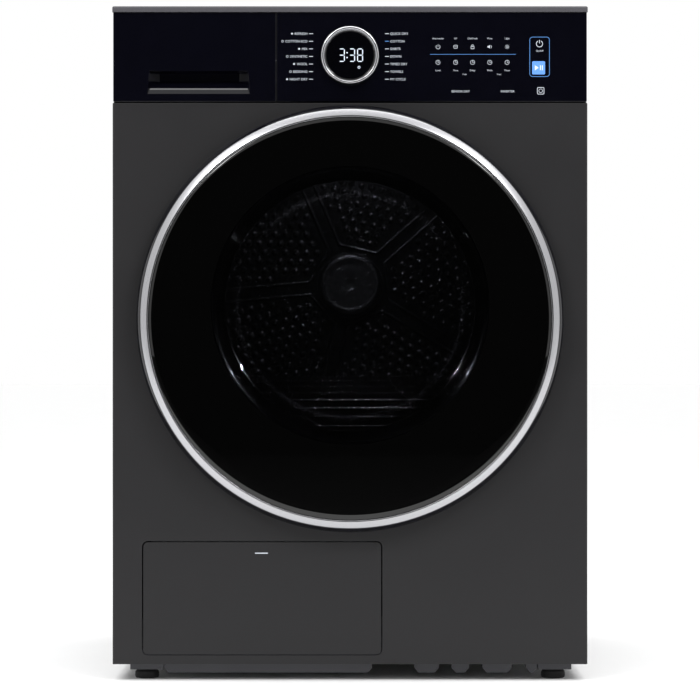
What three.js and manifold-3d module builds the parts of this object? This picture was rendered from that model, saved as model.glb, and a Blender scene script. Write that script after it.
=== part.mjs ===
// A front-loading heat-pump clothes dryer, 595 mm wide, as an assembly of separate pieces.
// Frame: millimetres, +Z up, the front faces -Y, origin on the floor under the middle of the machine.
import * as THREE from "three";
import { mergeVertices } from "three/addons/utils/BufferGeometryUtils.js";
import Module from "manifold-3d";

const wasm = await Module();
wasm.setup();

// ---- Driving dimensions ----
const GAP = 0.4; // running or assembly gap between two pieces that meet
const SHEET = 1; // steel sheet of the cabinet
const WALL = 3; // moulded plastic wall

// Cabinet
const HALF_W = 297.5;
const HEIGHT = 845;
const FRONT_Y = -284; // outer face of the front panel
const REAR_Y = 300; // outer face of the rear panel
const COVER_Y = 318; // outer face of the cover over the rear air duct
const SKIRT_Z = 21; // lower edge of the cabinet sheets
const FRONT_TOP_Z = 725; // the front panel ends here and the control panel starts
const WORKTOP_Z = 837.5; // underside of the worktop
const FLANGE = 18; // folded edge of a sheet

// Loading opening and the tunnel behind it
const OPENING_Z = 470;
const OPENING_R = 190;
const TUNNEL_R = 187; // outside of the moulded tunnel wall
const STEP_Y = -232; // front face of the step that narrows the tunnel
const REAR_PLATE_Y = -206; // rear face of the front bulkhead
const MOUTH_Z = 485;
const MOUTH_R = 165;
const SILL_Z = 381; // the flat sill above the lint filter
const FILTER = { x: [-110, 110], y: [-227, -211], z: [206, 378] };

// Door
const DOOR_Z = 453.5;
const DOOR_R = 266.5;
const DOOR_FRONT_Y = -318;
const DOOR_BACK_Y = -288.5;
const TRIM_OUTER_R = 260.5;
const TRIM_INNER_R = 250.8;
const BOWL_R = 168;
const BOWL_BACK_Y = -254;
const HINGE_X = 250.5;
const HINGE_Y = -301;
const HINGE_HALF = 42; // half the height of the hinge
const HINGE_SPLIT = 22; // half the height of the knuckle in its middle
const PIN_R = 2.5;
const KNUCKLE_R = 5;
const STRIKE_X = -214;

// Drum
const DRUM_Z = 508;
const DRUM_R = 270;
const DRUM_WALL = 1.2;
const DRUM_FRONT_Y = -203;
const DRUM_BACK_Y = 230;
const LIP_R = 200; // outside of the turned lip at the drum's mouth
const FELT_R = [190.4, 197.6]; // the felt ring inside that lip
const SHAFT_R = 10;
const HUB_R = 46.5;
const LIFTERS = 3;

// Drive
const MOTOR_X = 175;
const MOTOR_Z = 130;
const PULLEY_R = 10;
const BELT_T = 2.2;
const BELT_Y = [-88, -74];
const IDLER_R = 18;
const IDLER_ALONG = 90; // from the motor pulley to the idler, along the belt
const ARM_PIVOT = [128, 82];
const ARM_Y = [-71.5, -65];
const ROLLER_R = 35;
const ROLLER_ANGLE = 33; // degrees either side of straight down
const ROLLER_Y = -165;
const AXLE_R = 6;

// Water tank and its drawer front
const DRAWER_X = [-296.5, -92.8];
const PANEL_FRONT_Y = -286;
const PANEL_BACK_Y = -266.4;
const TANK = { x: [-284, -108], y: [-261.5, 215], z: [767, 832] };
const GRIP = { x: [-253.7, -125.3], z: [733.6, 764], top: 786, back: -265 };

// Control panel
const PANEL_X = [-92, 296.5];
const DIAL_Z = 783;
const DIAL_R = [30.7, 36.3];
const LENS_R = 30.2;
const BOARD_Y = -262; // front of the circuit board

// Access flap and what is behind it
const FLAP = { x: [-259, 39], z: [33.5, 173.8], r: 6 };
const FLAP_SEAM = 1.5;
const FLAP_HINGE = [-279, 41]; // y and z of its axis
const FLAP_PIN_R = 2;
const LOCK_X = [-232, 12];
const LOCK_Z = 106;

// Feet
const FOOT_X = 257;
const FOOT_Y = [-243, 262];
const FOOT_R = 15;
const STUD_R = 4;
const FOOT_TOP_Z = 11;
const TRAY_Z = 22; // underside of the base tray's floor
const TRAY_TOP_Z = 78;
const TRAY_Y = [-262, 280];

// ---- Materials ----
const looks = {
  graphite: new THREE.MeshStandardMaterial({ color: 0x353437, roughness: 0.45, metalness: 0.3 }),
  gloss: new THREE.MeshStandardMaterial({ color: 0x07070a, roughness: 0.08, metalness: 0 }),
  silver: new THREE.MeshStandardMaterial({ color: 0xc4c4c6, roughness: 0.25, metalness: 1 }),
  glass: new THREE.MeshStandardMaterial({ color: 0x050506, roughness: 0.03, metalness: 0 }),
  clear: new THREE.MeshStandardMaterial({ color: 0x9aa4a8, roughness: 0.05, metalness: 0 }),
  plastic: new THREE.MeshStandardMaterial({ color: 0x1b1b1e, roughness: 0.5, metalness: 0 }),
  grey: new THREE.MeshStandardMaterial({ color: 0x8d8f92, roughness: 0.5, metalness: 0 }),
  steel: new THREE.MeshStandardMaterial({ color: 0xb2b4b6, roughness: 0.3, metalness: 1 }),
  zinc: new THREE.MeshStandardMaterial({ color: 0x9ea2a4, roughness: 0.4, metalness: 0.9 }),
  rubber: new THREE.MeshStandardMaterial({ color: 0x141414, roughness: 0.85, metalness: 0 }),
  felt: new THREE.MeshStandardMaterial({ color: 0x6b6660, roughness: 1, metalness: 0 }),
  board: new THREE.MeshStandardMaterial({ color: 0x1d4a2b, roughness: 0.6, metalness: 0 }),
};

// ---- Shape helpers ----
const CORNER = 3; // segments of a rounded corner
const SMALL = 12; // segments of a small circle
const MEDIUM = 24;
const LARGE = 48;

// A box from its limits along X, Y and Z.
function block([x0, x1], [y0, y1], [z0, z1]) {
  const box = new THREE.BoxGeometry(x1 - x0, y1 - y0, z1 - z0);
  return box.translate((x0 + x1) / 2, (y0 + y1) / 2, (z0 + z1) / 2);
}

// Extrudes a shape drawn in X and Z from y0 to y1.
function alongY(shape, [y0, y1]) {
  const made = new THREE.ExtrudeGeometry(shape, { depth: y1 - y0, bevelEnabled: false });
  return made.rotateX(Math.PI / 2).translate(0, y1, 0);
}

// Extrudes a shape drawn in X and Y from z0 to z1.
function alongZ(shape, [z0, z1]) {
  const made = new THREE.ExtrudeGeometry(shape, { depth: z1 - z0, bevelEnabled: false });
  return made.translate(0, 0, z0);
}

// Extrudes a shape drawn in Y and Z from x0 to x1.
function alongX(shape, [x0, x1]) {
  const made = new THREE.ExtrudeGeometry(shape, { depth: x1 - x0, bevelEnabled: false });
  const axes = [new THREE.Vector3(0, 1, 0), new THREE.Vector3(0, 0, 1), new THREE.Vector3(1, 0, 0)];
  return made.applyMatrix4(new THREE.Matrix4().makeBasis(...axes)).translate(x0, 0, 0);
}

// A solid of revolution about the Y axis from a profile of [radius, y] points.
function turned(profile, segments = MEDIUM) {
  const points = profile.map(([r, y]) => new THREE.Vector2(r, y));
  if (THREE.ShapeUtils.area(points) < 0) points.reverse();
  points.push(points[0].clone());
  return new THREE.LatheGeometry(points, segments);
}

// A rod or tube about the X axis at [y, z].
function tubeX(inner, outer, [x0, x1], [y, z], segments = SMALL) {
  const axis = turned([[inner, x0], [outer, x0], [outer, x1], [inner, x1]], segments);
  return axis.rotateZ(-Math.PI / 2).translate(0, y, z);
}

// A solid turned about the Z axis, from [radius, z] points.
function upright(profile, segments = MEDIUM) {
  return turned(profile, segments).rotateX(Math.PI / 2);
}

// A tube or rod about the Y axis.
function tubeY(inner, outer, [y0, y1], segments = MEDIUM) {
  return turned([[inner, y0], [outer, y0], [outer, y1], [inner, y1]], segments);
}

// A tube or rod about the Z axis.
function tubeZ(inner, outer, [z0, z1], segments = MEDIUM) {
  return upright([[inner, z0], [outer, z0], [outer, z1], [inner, z1]], segments);
}

function polygon(points) {
  return new THREE.Shape(points.map(([x, y]) => new THREE.Vector2(x, y)));
}

// Points of an arc that turns anticlockwise from one angle to another.
function arc(x, z, r, from, to, steps) {
  const points = [];
  for (let i = 0; i <= steps; i++) {
    const angle = from + ((to - from) * i) / steps;
    points.push([x + r * Math.cos(angle), z + r * Math.sin(angle)]);
  }
  return points;
}

function disc(x, z, r, steps = LARGE) {
  return polygon(arc(x, z, r, 0, Math.PI * 2, steps).slice(1));
}

function roundedRect([x0, x1], [z0, z1], r, steps = CORNER) {
  const quarter = Math.PI / 2;
  return polygon([
    ...arc(x1 - r, z0 + r, r, -quarter, 0, steps),
    ...arc(x1 - r, z1 - r, r, 0, quarter, steps),
    ...arc(x0 + r, z1 - r, r, quarter, 2 * quarter, steps),
    ...arc(x0 + r, z0 + r, r, 2 * quarter, 3 * quarter, steps),
  ]);
}

// ---- Joining and cutting ----
function solid(geometry) {
  const bare = new THREE.BufferGeometry().setAttribute("position", geometry.getAttribute("position"));
  bare.setIndex(geometry.index);
  const merged = mergeVertices(bare, 1e-3);
  const triVerts = new Uint32Array(merged.index.array);
  const vertProperties = merged.getAttribute("position").array;
  return new wasm.Manifold(new wasm.Mesh({ numProp: 3, vertProperties, triVerts }));
}

function geometryOf(manifold) {
  const mesh = manifold.getMesh();
  const made = new THREE.BufferGeometry();
  made.setAttribute("position", new THREE.BufferAttribute(mesh.vertProperties, 3));
  made.setIndex(new THREE.BufferAttribute(mesh.triVerts, 1));
  return made;
}

const union = (parts) => parts.map(solid).reduce((a, b) => a.add(b));
const minus = (body, holes) => holes.map(solid).reduce((a, b) => a.subtract(b), body);

// Joins the first list of geometries, then cuts away the second.
function carve(parts, holes = []) {
  return geometryOf(minus(union(parts), holes));
}

// ---- Scene graph ----
const dryer = new THREE.Group();

function group(parent, x = 0, y = 0, z = 0) {
  const made = new THREE.Group();
  made.position.set(x, y, z);
  parent.add(made);
  return made;
}

function piece(parent, name, geometry, look) {
  const mesh = new THREE.Mesh(geometry, looks[look]);
  mesh.name = name;
  parent.add(mesh);
  return mesh;
}

// ---- Cabinet sheets ----
const FRONT_BACK_Y = FRONT_Y + SHEET;
const FLAP_HOLE = {
  x: [FLAP.x[0] - FLAP_SEAM, FLAP.x[1] + FLAP_SEAM],
  z: [FLAP.z[0] - FLAP_SEAM, FLAP.z[1] + FLAP_SEAM],
};
const STRIKE_HALF = [8, 12]; // half width and height of the strike's slot

function frontPanel() {
  const face = roundedRect([-HALF_W, HALF_W], [SKIRT_Z, FRONT_TOP_Z], 2);
  face.holes.push(disc(0, OPENING_Z, OPENING_R));
  face.holes.push(roundedRect(FLAP_HOLE.x, FLAP_HOLE.z, FLAP.r + FLAP_SEAM));
  const parts = [alongY(face, [FRONT_Y, FRONT_BACK_Y])];
  const depth = [FRONT_BACK_Y - 0.1, FRONT_Y + FLANGE];
  for (const edge of [[-HALF_W, -HALF_W + SHEET], [HALF_W - SHEET, HALF_W]])
    parts.push(block(edge, depth, [SKIRT_Z + 2, FRONT_TOP_Z - 2]));
  parts.push(block([-HALF_W + 2, HALF_W - 2], depth, [FRONT_TOP_Z - SHEET, FRONT_TOP_Z]));
  // Two bent ears carry the pins of the access flap.
  for (const ear of [[FLAP_HOLE.x[0] - 2, FLAP_HOLE.x[0]], [FLAP_HOLE.x[1], FLAP_HOLE.x[1] + 2]])
    parts.push(block(ear, [FRONT_BACK_Y - 0.1, -272], [FLAP_HINGE[1] - 7, FLAP_HINGE[1] + 7]));
  const pinHole = tubeX(0, FLAP_PIN_R + GAP, [FLAP_HOLE.x[0] - 8, FLAP_HOLE.x[1] + 8], FLAP_HINGE);
  const slotX = [STRIKE_X - STRIKE_HALF[0], STRIKE_X + STRIKE_HALF[0]];
  const slotZ = [DOOR_Z - STRIKE_HALF[1], DOOR_Z + STRIKE_HALF[1]];
  return carve(parts, [pinHole, block(slotX, [FRONT_Y - 1, FRONT_BACK_Y + 1], slotZ)]);
}

// Each side is one sheet, folded in at its front and rear edges.
function sidePanel(side) {
  const y0 = FRONT_Y + FLANGE + GAP;
  const y1 = REAR_Y - SHEET - GAP;
  const inner = HALF_W - SHEET;
  const frontFold = inner - 10;
  const rearFold = inner - FLANGE;
  const outline = [
    [HALF_W, y0], [HALF_W, y1], [rearFold, y1], [rearFold, y1 - SHEET],
    [inner, y1 - SHEET], [inner, y0 + SHEET], [frontFold, y0 + SHEET], [frontFold, y0],
  ];
  return alongZ(polygon(outline.map(([x, y]) => [side * x, y])), [SKIRT_Z, WORKTOP_Z - GAP]);
}

function rearPanel() {
  const face = roundedRect([-HALF_W, HALF_W], [SKIRT_Z, WORKTOP_Z - GAP], 2);
  const slots = 6;
  const pitch = 16;
  for (let i = 0; i < slots; i++) {
    face.holes.push(roundedRect([-265, -195], [710 + i * pitch, 717 + i * pitch], 3));
    face.holes.push(roundedRect([195, 265], [60 + i * pitch, 67 + i * pitch], 3));
  }
  face.holes.push(disc(0, DRUM_Z, 30, MEDIUM));
  return alongY(face, [REAR_Y - SHEET, REAR_Y]);
}

// The worktop's long edges are chamfered above and eased below.
function worktop() {
  const chamfer = 2.5;
  const eased = 1;
  const half = [
    [HALF_W - eased, WORKTOP_Z], [HALF_W, WORKTOP_Z + eased], [HALF_W, HEIGHT - chamfer],
    [HALF_W - chamfer, HEIGHT],
  ];
  const mirrored = half.map(([x, z]) => [-x, z]).reverse();
  return alongY(polygon([...half, ...mirrored]), [FRONT_Y - 4, REAR_Y + 2]);
}

function rearDuctCover() {
  const [width, z0, z1, corner] = [170, 70, 690, 40];
  const y0 = REAR_Y + GAP;
  const outer = roundedRect([-width, width], [z0, z1], corner);
  const inner = roundedRect([-width + WALL, width - WALL], [z0 + WALL, z1 - WALL], corner - WALL);
  return carve([alongY(outer, [y0, COVER_Y])], [alongY(inner, [y0 - 1, COVER_Y - WALL])]);
}

// The mains inlet is a flanged gland with an open bore.
function powerInlet() {
  const [x, z, half] = [245, 645, 17];
  const flange = block([x - half, x + half], [REAR_Y + GAP, REAR_Y + 4], [z - half, z + half]);
  const gland = tubeY(0, 11, [REAR_Y + GAP, REAR_Y + 16], SMALL).translate(x, 0, z);
  const bore = tubeY(0, 5, [REAR_Y - 1, REAR_Y + 20], SMALL).translate(x, 0, z);
  return carve([flange, gland], [bore]);
}

// ---- Base tray ----
// An open tray with a skirt in front. Ribs with sloping ends and four foot bosses hang below its floor.
function baseTray() {
  const half = HALF_W - SHEET - 4;
  const [y0, y1] = TRAY_Y;
  const floor = TRAY_Z + WALL;
  const rib = (x0, x1, depth) => {
    const slope = 5;
    const low = 8;
    const section = polygon([
      [x0 + slope, low], [x1 - slope, low], [x1, low + 6], [x1, floor - 1], [x0, floor - 1],
      [x0, low + 6],
    ]);
    return alongY(section, [y0, y0 + depth]);
  };
  const parts = [block([-half, half], [y0, y1], [TRAY_Z, TRAY_TOP_Z])];
  parts.push(rib(-234, 28, WALL), rib(81, 112, 60), rib(128, 150, 90), rib(167, 204, 40), rib(222, 236, 40));
  for (const x of [-FOOT_X, FOOT_X])
    for (const y of FOOT_Y)
      parts.push(block([x - 20, x + 22], [y - 19, y + 17], [FOOT_TOP_Z + 1, floor + 10]));
  const holes = [block([-half + WALL, half - WALL], [y0 + WALL, y1 - WALL], [floor + 10, TRAY_TOP_Z + 1])];
  holes.push(block([-FOOT_X + 23, FOOT_X - 21], [y0 + WALL, y1 - WALL], [floor, floor + 11]));
  holes.push(block([-half + WALL, half - WALL], [FOOT_Y[0] + 17, FOOT_Y[1] - 19], [floor, floor + 11]));
  for (const x of [-FOOT_X, FOOT_X])
    for (const y of FOOT_Y)
      holes.push(tubeZ(0, STUD_R + GAP, [0, 60], SMALL).translate(x, y, 0));
  // Two slots above the front skirt.
  for (const slot of [[-201, -160], [-71, -29]])
    holes.push(block(slot, [y0 - 1, y0 + WALL + 1], [TRAY_Z - 3, TRAY_Z]));
  return carve(parts, holes);
}

// A levelling foot: a moulded pad on a threaded stud.
function foot() {
  const pad = upright([
    [0, 0], [FOOT_R - 1, 0], [FOOT_R, 1.5], [FOOT_R, FOOT_TOP_Z - 3], [FOOT_R - 3, FOOT_TOP_Z],
    [0, FOOT_TOP_Z],
  ]);
  return carve([pad, tubeZ(0, STUD_R, [FOOT_TOP_Z - 1, 46], SMALL)]);
}

// ---- Front bulkhead and what it carries ----
// The mouth is a circle cut off by a flat sill; grow offsets it outwards.
function mouth(grow = 0) {
  const r = MOUTH_R + grow;
  const angle = Math.asin((SILL_Z - grow - MOUTH_Z) / r);
  return polygon(arc(0, MOUTH_Z, r, angle, Math.PI - angle, LARGE - 12));
}

const ROLLER_PLACES = [-1, 1].map((side) => {
  const a = THREE.MathUtils.degToRad(ROLLER_ANGLE);
  const far = DRUM_R + ROLLER_R + GAP;
  return [side * far * Math.sin(a), DRUM_Z - far * Math.cos(a)];
});

function frontBulkhead() {
  const y0 = FRONT_BACK_Y + GAP;
  const inside = TUNNEL_R - WALL;
  const flange = alongY(roundedRect([-288, 288], [228, 720], 10), [y0, y0 + WALL]);
  const tunnel = alongY(disc(0, OPENING_Z, TUNNEL_R), [y0, STEP_Y + WALL]);
  const tunnelHole = alongY(disc(0, OPENING_Z, inside), [y0 - 5, STEP_Y]);
  const latchWindow = block(
    [STRIKE_X - 24, STRIKE_X + 24],
    [y0 - 1, y0 + WALL + 1],
    [DOOR_Z - 32, DOOR_Z + 32],
  );
  const shell = minus(union([flange, tunnel]), [tunnelHole, latchWindow]);

  const plate = alongY(disc(0, DRUM_Z, FELT_R[1]), [REAR_PLATE_Y - WALL, REAR_PLATE_Y]);
  const seat = tubeY(FELT_R[0] - GAP - WALL, FELT_R[0] - GAP, [REAR_PLATE_Y - 1, REAR_PLATE_Y + 8], LARGE);
  seat.translate(0, 0, DRUM_Z);
  const neck = alongY(mouth(WALL), [STEP_Y, REAR_PLATE_Y]);
  const reach = WALL + 1;
  const ductX = [FILTER.x[0] - reach - 1, FILTER.x[1] + reach + 1];
  const duct = block(ductX, [STEP_Y, REAR_PLATE_Y], [200, SILL_Z - 1]);
  // A sloping scoop under the mouth leads laundry over the filter's grip.
  const scoopSection = polygon([
    [STEP_Y + 1, 300], [STEP_Y + 1, 374], [STEP_Y - 3, 374], [-249, 306], [-246, 300],
  ]);
  const scoop = alongX(scoopSection, [-80, 80]);
  const bosses = ROLLER_PLACES.map(([x, z]) => tubeY(0, 13, [y0, ROLLER_Y - 12], SMALL).translate(x, 0, z));
  const axleY = [ROLLER_Y - 13, ROLLER_Y + 14];
  const axles = ROLLER_PLACES.map(([x, z]) => tubeY(0, AXLE_R, axleY, SMALL).translate(x, 0, z));
  const added = shell.add(union([plate, seat, neck, duct, scoop, ...bosses, ...axles]));

  const neckHole = alongY(mouth(), [STEP_Y - 1, REAR_PLATE_Y + 1]);
  const filterX = [FILTER.x[0] - 1, FILTER.x[1] + 1];
  const slot = block(filterX, [FILTER.y[0] - 1, FILTER.y[1] + 1], [FILTER.z[0] - GAP, SILL_Z + 10]);
  const airHole = block([-95, 95], [FILTER.y[0] + 3, FILTER.y[1] - 3], [190, 215]);
  return geometryOf(minus(added, [neckHole, slot, airHole]));
}

function roller() {
  const half = 10;
  const bore = AXLE_R + GAP;
  return turned([
    [bore, -half], [ROLLER_R - 2, -half], [ROLLER_R, 2 - half], [ROLLER_R, half - 2],
    [ROLLER_R - 2, half], [bore, half],
  ]);
}

// The lint filter is a thin open-topped case with a raised grip along its top edge.
function lintFilter() {
  const { x, y, z } = FILTER;
  const skin = 2;
  const body = block(x, y, [z[0], z[1] - 4]);
  const grip = block([x[0] + 30, x[1] - 30], y, [z[1] - 5, z[1]]);
  const inside = block([x[0] + WALL, x[1] - WALL], [y[0] + skin, y[1] - skin], [z[0] + WALL, z[1] + 5]);
  return carve([body, grip], [inside]);
}

function latchHousing() {
  const y0 = FRONT_BACK_Y + GAP;
  const outer = block([STRIKE_X - 20, STRIKE_X + 20], [y0, y0 + 28], [DOOR_Z - 28, DOOR_Z + 28]);
  const inner = block([STRIKE_X - 10, STRIKE_X + 10], [y0 - 1, y0 + 24], [DOOR_Z - 15, DOOR_Z + 15]);
  return carve([outer], [inner]);
}

// ---- Door hinge on the cabinet side ----
// Two arms reach forward from a plate on the front panel, then sideways to the knuckles.
function hingeBracket() {
  const [x0, plateX] = [204, 227];
  const back = FRONT_Y - GAP;
  const arm = 2;
  const plate = block([x0, plateX], [back - 2.4, back], [-HINGE_HALF, HINGE_HALF]);
  const arms = [[-HINGE_HALF, -HINGE_SPLIT], [HINGE_SPLIT, HINGE_HALF]].flatMap((z) => [
    block([plateX - 4, plateX], [HINGE_Y - arm, back], z),
    block([plateX - 4, HINGE_X], [HINGE_Y - arm, HINGE_Y + arm], z),
    tubeZ(0, KNUCKLE_R, z, SMALL).translate(HINGE_X, HINGE_Y, 0),
  ]);
  const bore = tubeZ(0, PIN_R + 0.3, [-60, 60], SMALL).translate(HINGE_X, HINGE_Y, 0);
  return carve([plate, ...arms], [bore]).translate(0, 0, DOOR_Z);
}

// ---- Door, drawn about its own centre height ----
const BOWL_UP = OPENING_Z - DOOR_Z;
const POCKET = { x: [200, 257.5], y: [-308, DOOR_BACK_Y + 5], z: [-HINGE_HALF - 3, HINGE_HALF + 3] };

function doorBezel() {
  const inner = TRIM_INNER_R - 2.8;
  const ring = turned([
    [inner, -311], [260.8, -311], [264.5, -306], [DOOR_R, -299], [DOOR_R, -297],
    [260.5, DOOR_BACK_Y], [inner, DOOR_BACK_Y],
  ], LARGE);
  return carve([ring], [block(POCKET.x, POCKET.y, POCKET.z)]);
}

function doorTrimRing() {
  return turned([
    [TRIM_INNER_R, -311.4], [TRIM_OUTER_R, -311.4], [TRIM_OUTER_R, -313.5], [258, -316.3],
    [252, -317.2], [TRIM_INNER_R, -317.2],
  ], LARGE);
}

function doorGlass() {
  const r = TRIM_INNER_R - GAP;
  return turned([[0, -311.4], [r, -311.4], [r, -316], [240, -317.5], [0, DOOR_FRONT_Y]], LARGE);
}

function doorInnerFrame() {
  const outer = TRIM_INNER_R - 3.4;
  const bowlR = BOWL_R + 4;
  const front = -309;
  const face = disc(0, 0, outer);
  face.holes.push(disc(0, BOWL_UP, bowlR));
  const plate = alongY(face, [DOOR_BACK_Y - WALL, DOOR_BACK_Y]);
  const rim = tubeY(outer - WALL, outer, [front, DOOR_BACK_Y], LARGE);
  const collar = tubeY(bowlR, bowlR + WALL, [front, DOOR_BACK_Y], LARGE).translate(0, 0, BOWL_UP);
  const well = block(
    [POCKET.x[0] - WALL, outer - 8],
    [-311, DOOR_BACK_Y],
    [POCKET.z[0] - WALL, POCKET.z[1] + WALL],
  );
  return carve([plate, rim, collar, well], [block(POCKET.x, POCKET.y, POCKET.z)]);
}

// The inner bowl pushes laundry away from the glass. It is a clear shell, open towards the glass.
function doorBowl() {
  const r = BOWL_R;
  const back = BOWL_BACK_Y;
  const flange = r + 3.5;
  const bowl = turned([
    [flange, -309], [flange, -290], [r, -286], [r - 8, back - 14], [r - 28, back - 4], [0, back],
    [0, back - 3], [r - 30, back - 7], [r - 11, back - 16.5], [r - 3, -287], [r - 3, -309],
  ], LARGE);
  return bowl.translate(0, 0, BOWL_UP);
}

function doorSeal() {
  const y = [DOOR_BACK_Y + GAP, FRONT_Y - GAP];
  return turned([[194, y[0]], [203, y[0]], [201.5, y[1]], [196, y[1]]], LARGE).translate(0, 0, BOWL_UP);
}

function doorStrike() {
  const y0 = DOOR_BACK_Y + GAP;
  return carve([
    block([STRIKE_X - 10, STRIKE_X + 9], [y0, y0 + 2], [-14, 14]),
    block([STRIKE_X - 5, STRIKE_X], [y0 + 1, y0 + 22], [-8, 8]),
    block([STRIKE_X - 5, STRIKE_X + 6], [y0 + 18, y0 + 22], [-8, 8]),
  ]);
}

function doorHingeLeaf() {
  const half = HINGE_SPLIT - GAP;
  const floor = POCKET.y[0] + GAP;
  const plateX = [POCKET.x[0] + 5, HINGE_X - 3.5];
  const plate = block(plateX, [floor, floor + 2], [-HINGE_HALF + 2, HINGE_HALF - 2]);
  const web = block([HINGE_X - 4, HINGE_X + 4], [floor, HINGE_Y], [-half, half]);
  const knuckle = tubeZ(0, KNUCKLE_R, [-half, half], SMALL).translate(HINGE_X, HINGE_Y, 0);
  const bore = tubeZ(0, PIN_R + 0.3, [-60, 60], SMALL).translate(HINGE_X, HINGE_Y, 0);
  return carve([plate, web, knuckle], [bore]);
}

function doorHingePin() {
  return tubeZ(0, PIN_R, [-HINGE_HALF - 1, HINGE_HALF + 1], SMALL).translate(HINGE_X, HINGE_Y, 0);
}

// ---- Drum, drawn about its own axis ----
function drumShell() {
  const wall = DRUM_WALL;
  const shoulder = -181;
  return turned([
    [LIP_R - wall, DRUM_FRONT_Y], [LIP_R, DRUM_FRONT_Y], [LIP_R, DRUM_FRONT_Y + 7], [258, DRUM_FRONT_Y + 10],
    [DRUM_R, shoulder], [DRUM_R, DRUM_BACK_Y], [DRUM_R - wall, DRUM_BACK_Y], [DRUM_R - wall, shoulder + 1],
    [257, DRUM_FRONT_Y + 12], [LIP_R - wall, DRUM_FRONT_Y + 9],
  ], LARGE);
}

// The back is dished under the hub cap, where the shaft's flange is bolted on.
function drumBack() {
  const [front, sheet, dish] = [DRUM_BACK_Y - 6, 1.6, 8];
  const edge = DRUM_R - DRUM_WALL - GAP;
  const back = front + sheet;
  return turned([
    [0, front + dish], [40, front + dish], [HUB_R - 1, front], [edge, front],
    [edge, back], [HUB_R, back], [41, back + dish], [0, back + dish],
  ], LARGE);
}

// A shallow pressed dome covers the bolts in the middle of the drum's back.
function hubCap() {
  const y = DRUM_BACK_Y - 6 - GAP;
  return turned([[0, y - 17], [20, y - 16], [38, y - 12], [HUB_R, y - 5], [HUB_R, y], [0, y]]);
}

function drumShaft() {
  const y = DRUM_BACK_Y + 3.6 + GAP;
  return turned([
    [0, y], [40, y], [40, y + 4], [SHAFT_R, y + 4], [SHAFT_R, REAR_Y - 8], [0, REAR_Y - 8],
  ], SMALL);
}

// A hollow-looking paddle that runs along the drum wall and tapers at both ends.
function lifter() {
  const base = -(DRUM_R - DRUM_WALL - 3);
  const section = polygon([[-34, base], [34, base], [13, base + 52], [-13, base + 52]]);
  const body = alongY(section, [-150, 195]);
  // Both ends slope down, so that laundry slides off them.
  const ends = [[-151, -112], [196, 157]].map(([low, high]) => {
    const wedge = polygon([[low, base + 4], [low, base + 60], [high, base + 60], [high, base + 53]]);
    return alongX(wedge, [-40, 40]);
  });
  return carve([body], ends);
}

// ---- Drive ----
// Angle at which an outer tangent touches the drum and the motor pulley.
const DRIVE = (() => {
  const drum = new THREE.Vector2(0, DRUM_Z);
  const motor = new THREE.Vector2(MOTOR_X, MOTOR_Z);
  const line = motor.clone().sub(drum);
  const spread = Math.acos((DRUM_R - PULLEY_R) / line.length());
  const angles = [line.angle() - spread, line.angle() + spread];
  const normal = new THREE.Vector2(Math.cos(angles[0]), Math.sin(angles[0]));
  const from = motor.clone().addScaledVector(normal, PULLEY_R);
  const along = drum.clone().addScaledVector(normal, DRUM_R).sub(from).normalize();
  const idler = from.addScaledVector(along, IDLER_ALONG).addScaledVector(normal, GAP * 2 + BELT_T + IDLER_R);
  return { angles, idler };
})();

function beltLoop(grow) {
  const [low, high] = DRIVE.angles;
  return polygon([
    ...arc(0, DRUM_Z, DRUM_R + grow, high, low + Math.PI * 2, LARGE),
    ...arc(MOTOR_X, MOTOR_Z, PULLEY_R + grow, low, high, SMALL / 2),
  ]);
}

function drumBelt() {
  const outer = beltLoop(GAP + BELT_T);
  outer.holes.push(beltLoop(GAP));
  return alongY(outer, BELT_Y);
}

function motor() {
  const can = tubeY(0, 50, [-60, 50]);
  const bracket = block([-62, 62], [-64, -59], [TRAY_Z + WALL + GAP - MOTOR_Z, 40]);
  const [px, pz] = [ARM_PIVOT[0] - MOTOR_X, ARM_PIVOT[1] - MOTOR_Z];
  const pivot = tubeY(0, 5, [ARM_Y[0] - 1, -62], SMALL).translate(px, 0, pz);
  return carve([can, bracket, pivot], [tubeY(0, 6 + GAP, [-70, 60], SMALL)]);
}

function motorPulley() {
  const [y0, y1] = [BELT_Y[0] - 2, BELT_Y[1] + 2];
  return turned([
    [0, y0 - 4], [6, y0 - 4], [6, y0 - 2], [PULLEY_R + 4, y0 - 2], [PULLEY_R + 4, y0],
    [PULLEY_R, y0], [PULLEY_R, y1],
    [PULLEY_R + 4, y1], [PULLEY_R + 4, y1 + 2], [6, y1 + 2], [6, 104], [0, 104],
  ], SMALL);
}

function fanWheel() {
  const [y0, y1] = [64, 100];
  const parts = [
    tubeY(6 + GAP, 14, [y0, y1], SMALL),
    tubeY(6 + GAP, 70, [y1 - 2, y1]),
    tubeY(54, 70, [y0, y0 + 2]),
  ];
  const blades = 12;
  for (let i = 0; i < blades; i++)
    parts.push(block([52, 69], [y0, y1 - 1], [-1, 1]).rotateY((i * Math.PI * 2) / blades));
  return carve(parts);
}

function fanHousing() {
  const [y0, y1, inner] = [58, 108, 78];
  return turned([
    [52, y0], [inner + WALL, y0], [inner + WALL, y1], [12, y1], [12, y1 - WALL],
    [inner, y1 - WALL], [inner, y0 + WALL], [52, y0 + WALL],
  ]);
}

function idlerArm() {
  const [ix, iz] = [DRIVE.idler.x - ARM_PIVOT[0], DRIVE.idler.y - ARM_PIVOT[1]];
  const length = Math.hypot(ix, iz);
  const bar = block([0, length], ARM_Y, [-7, 7]).rotateY(-Math.atan2(iz, ix));
  const hub = tubeY(0, 10, ARM_Y, SMALL);
  const tip = tubeY(0, 9, ARM_Y, SMALL).translate(ix, 0, iz);
  const stub = tubeY(0, 5, [BELT_Y[0] - 4, ARM_Y[1] - 1], SMALL).translate(ix, 0, iz);
  return carve([bar, hub, tip, stub], [tubeY(0, 5 + GAP, [-90, -50], SMALL)]);
}

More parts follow.
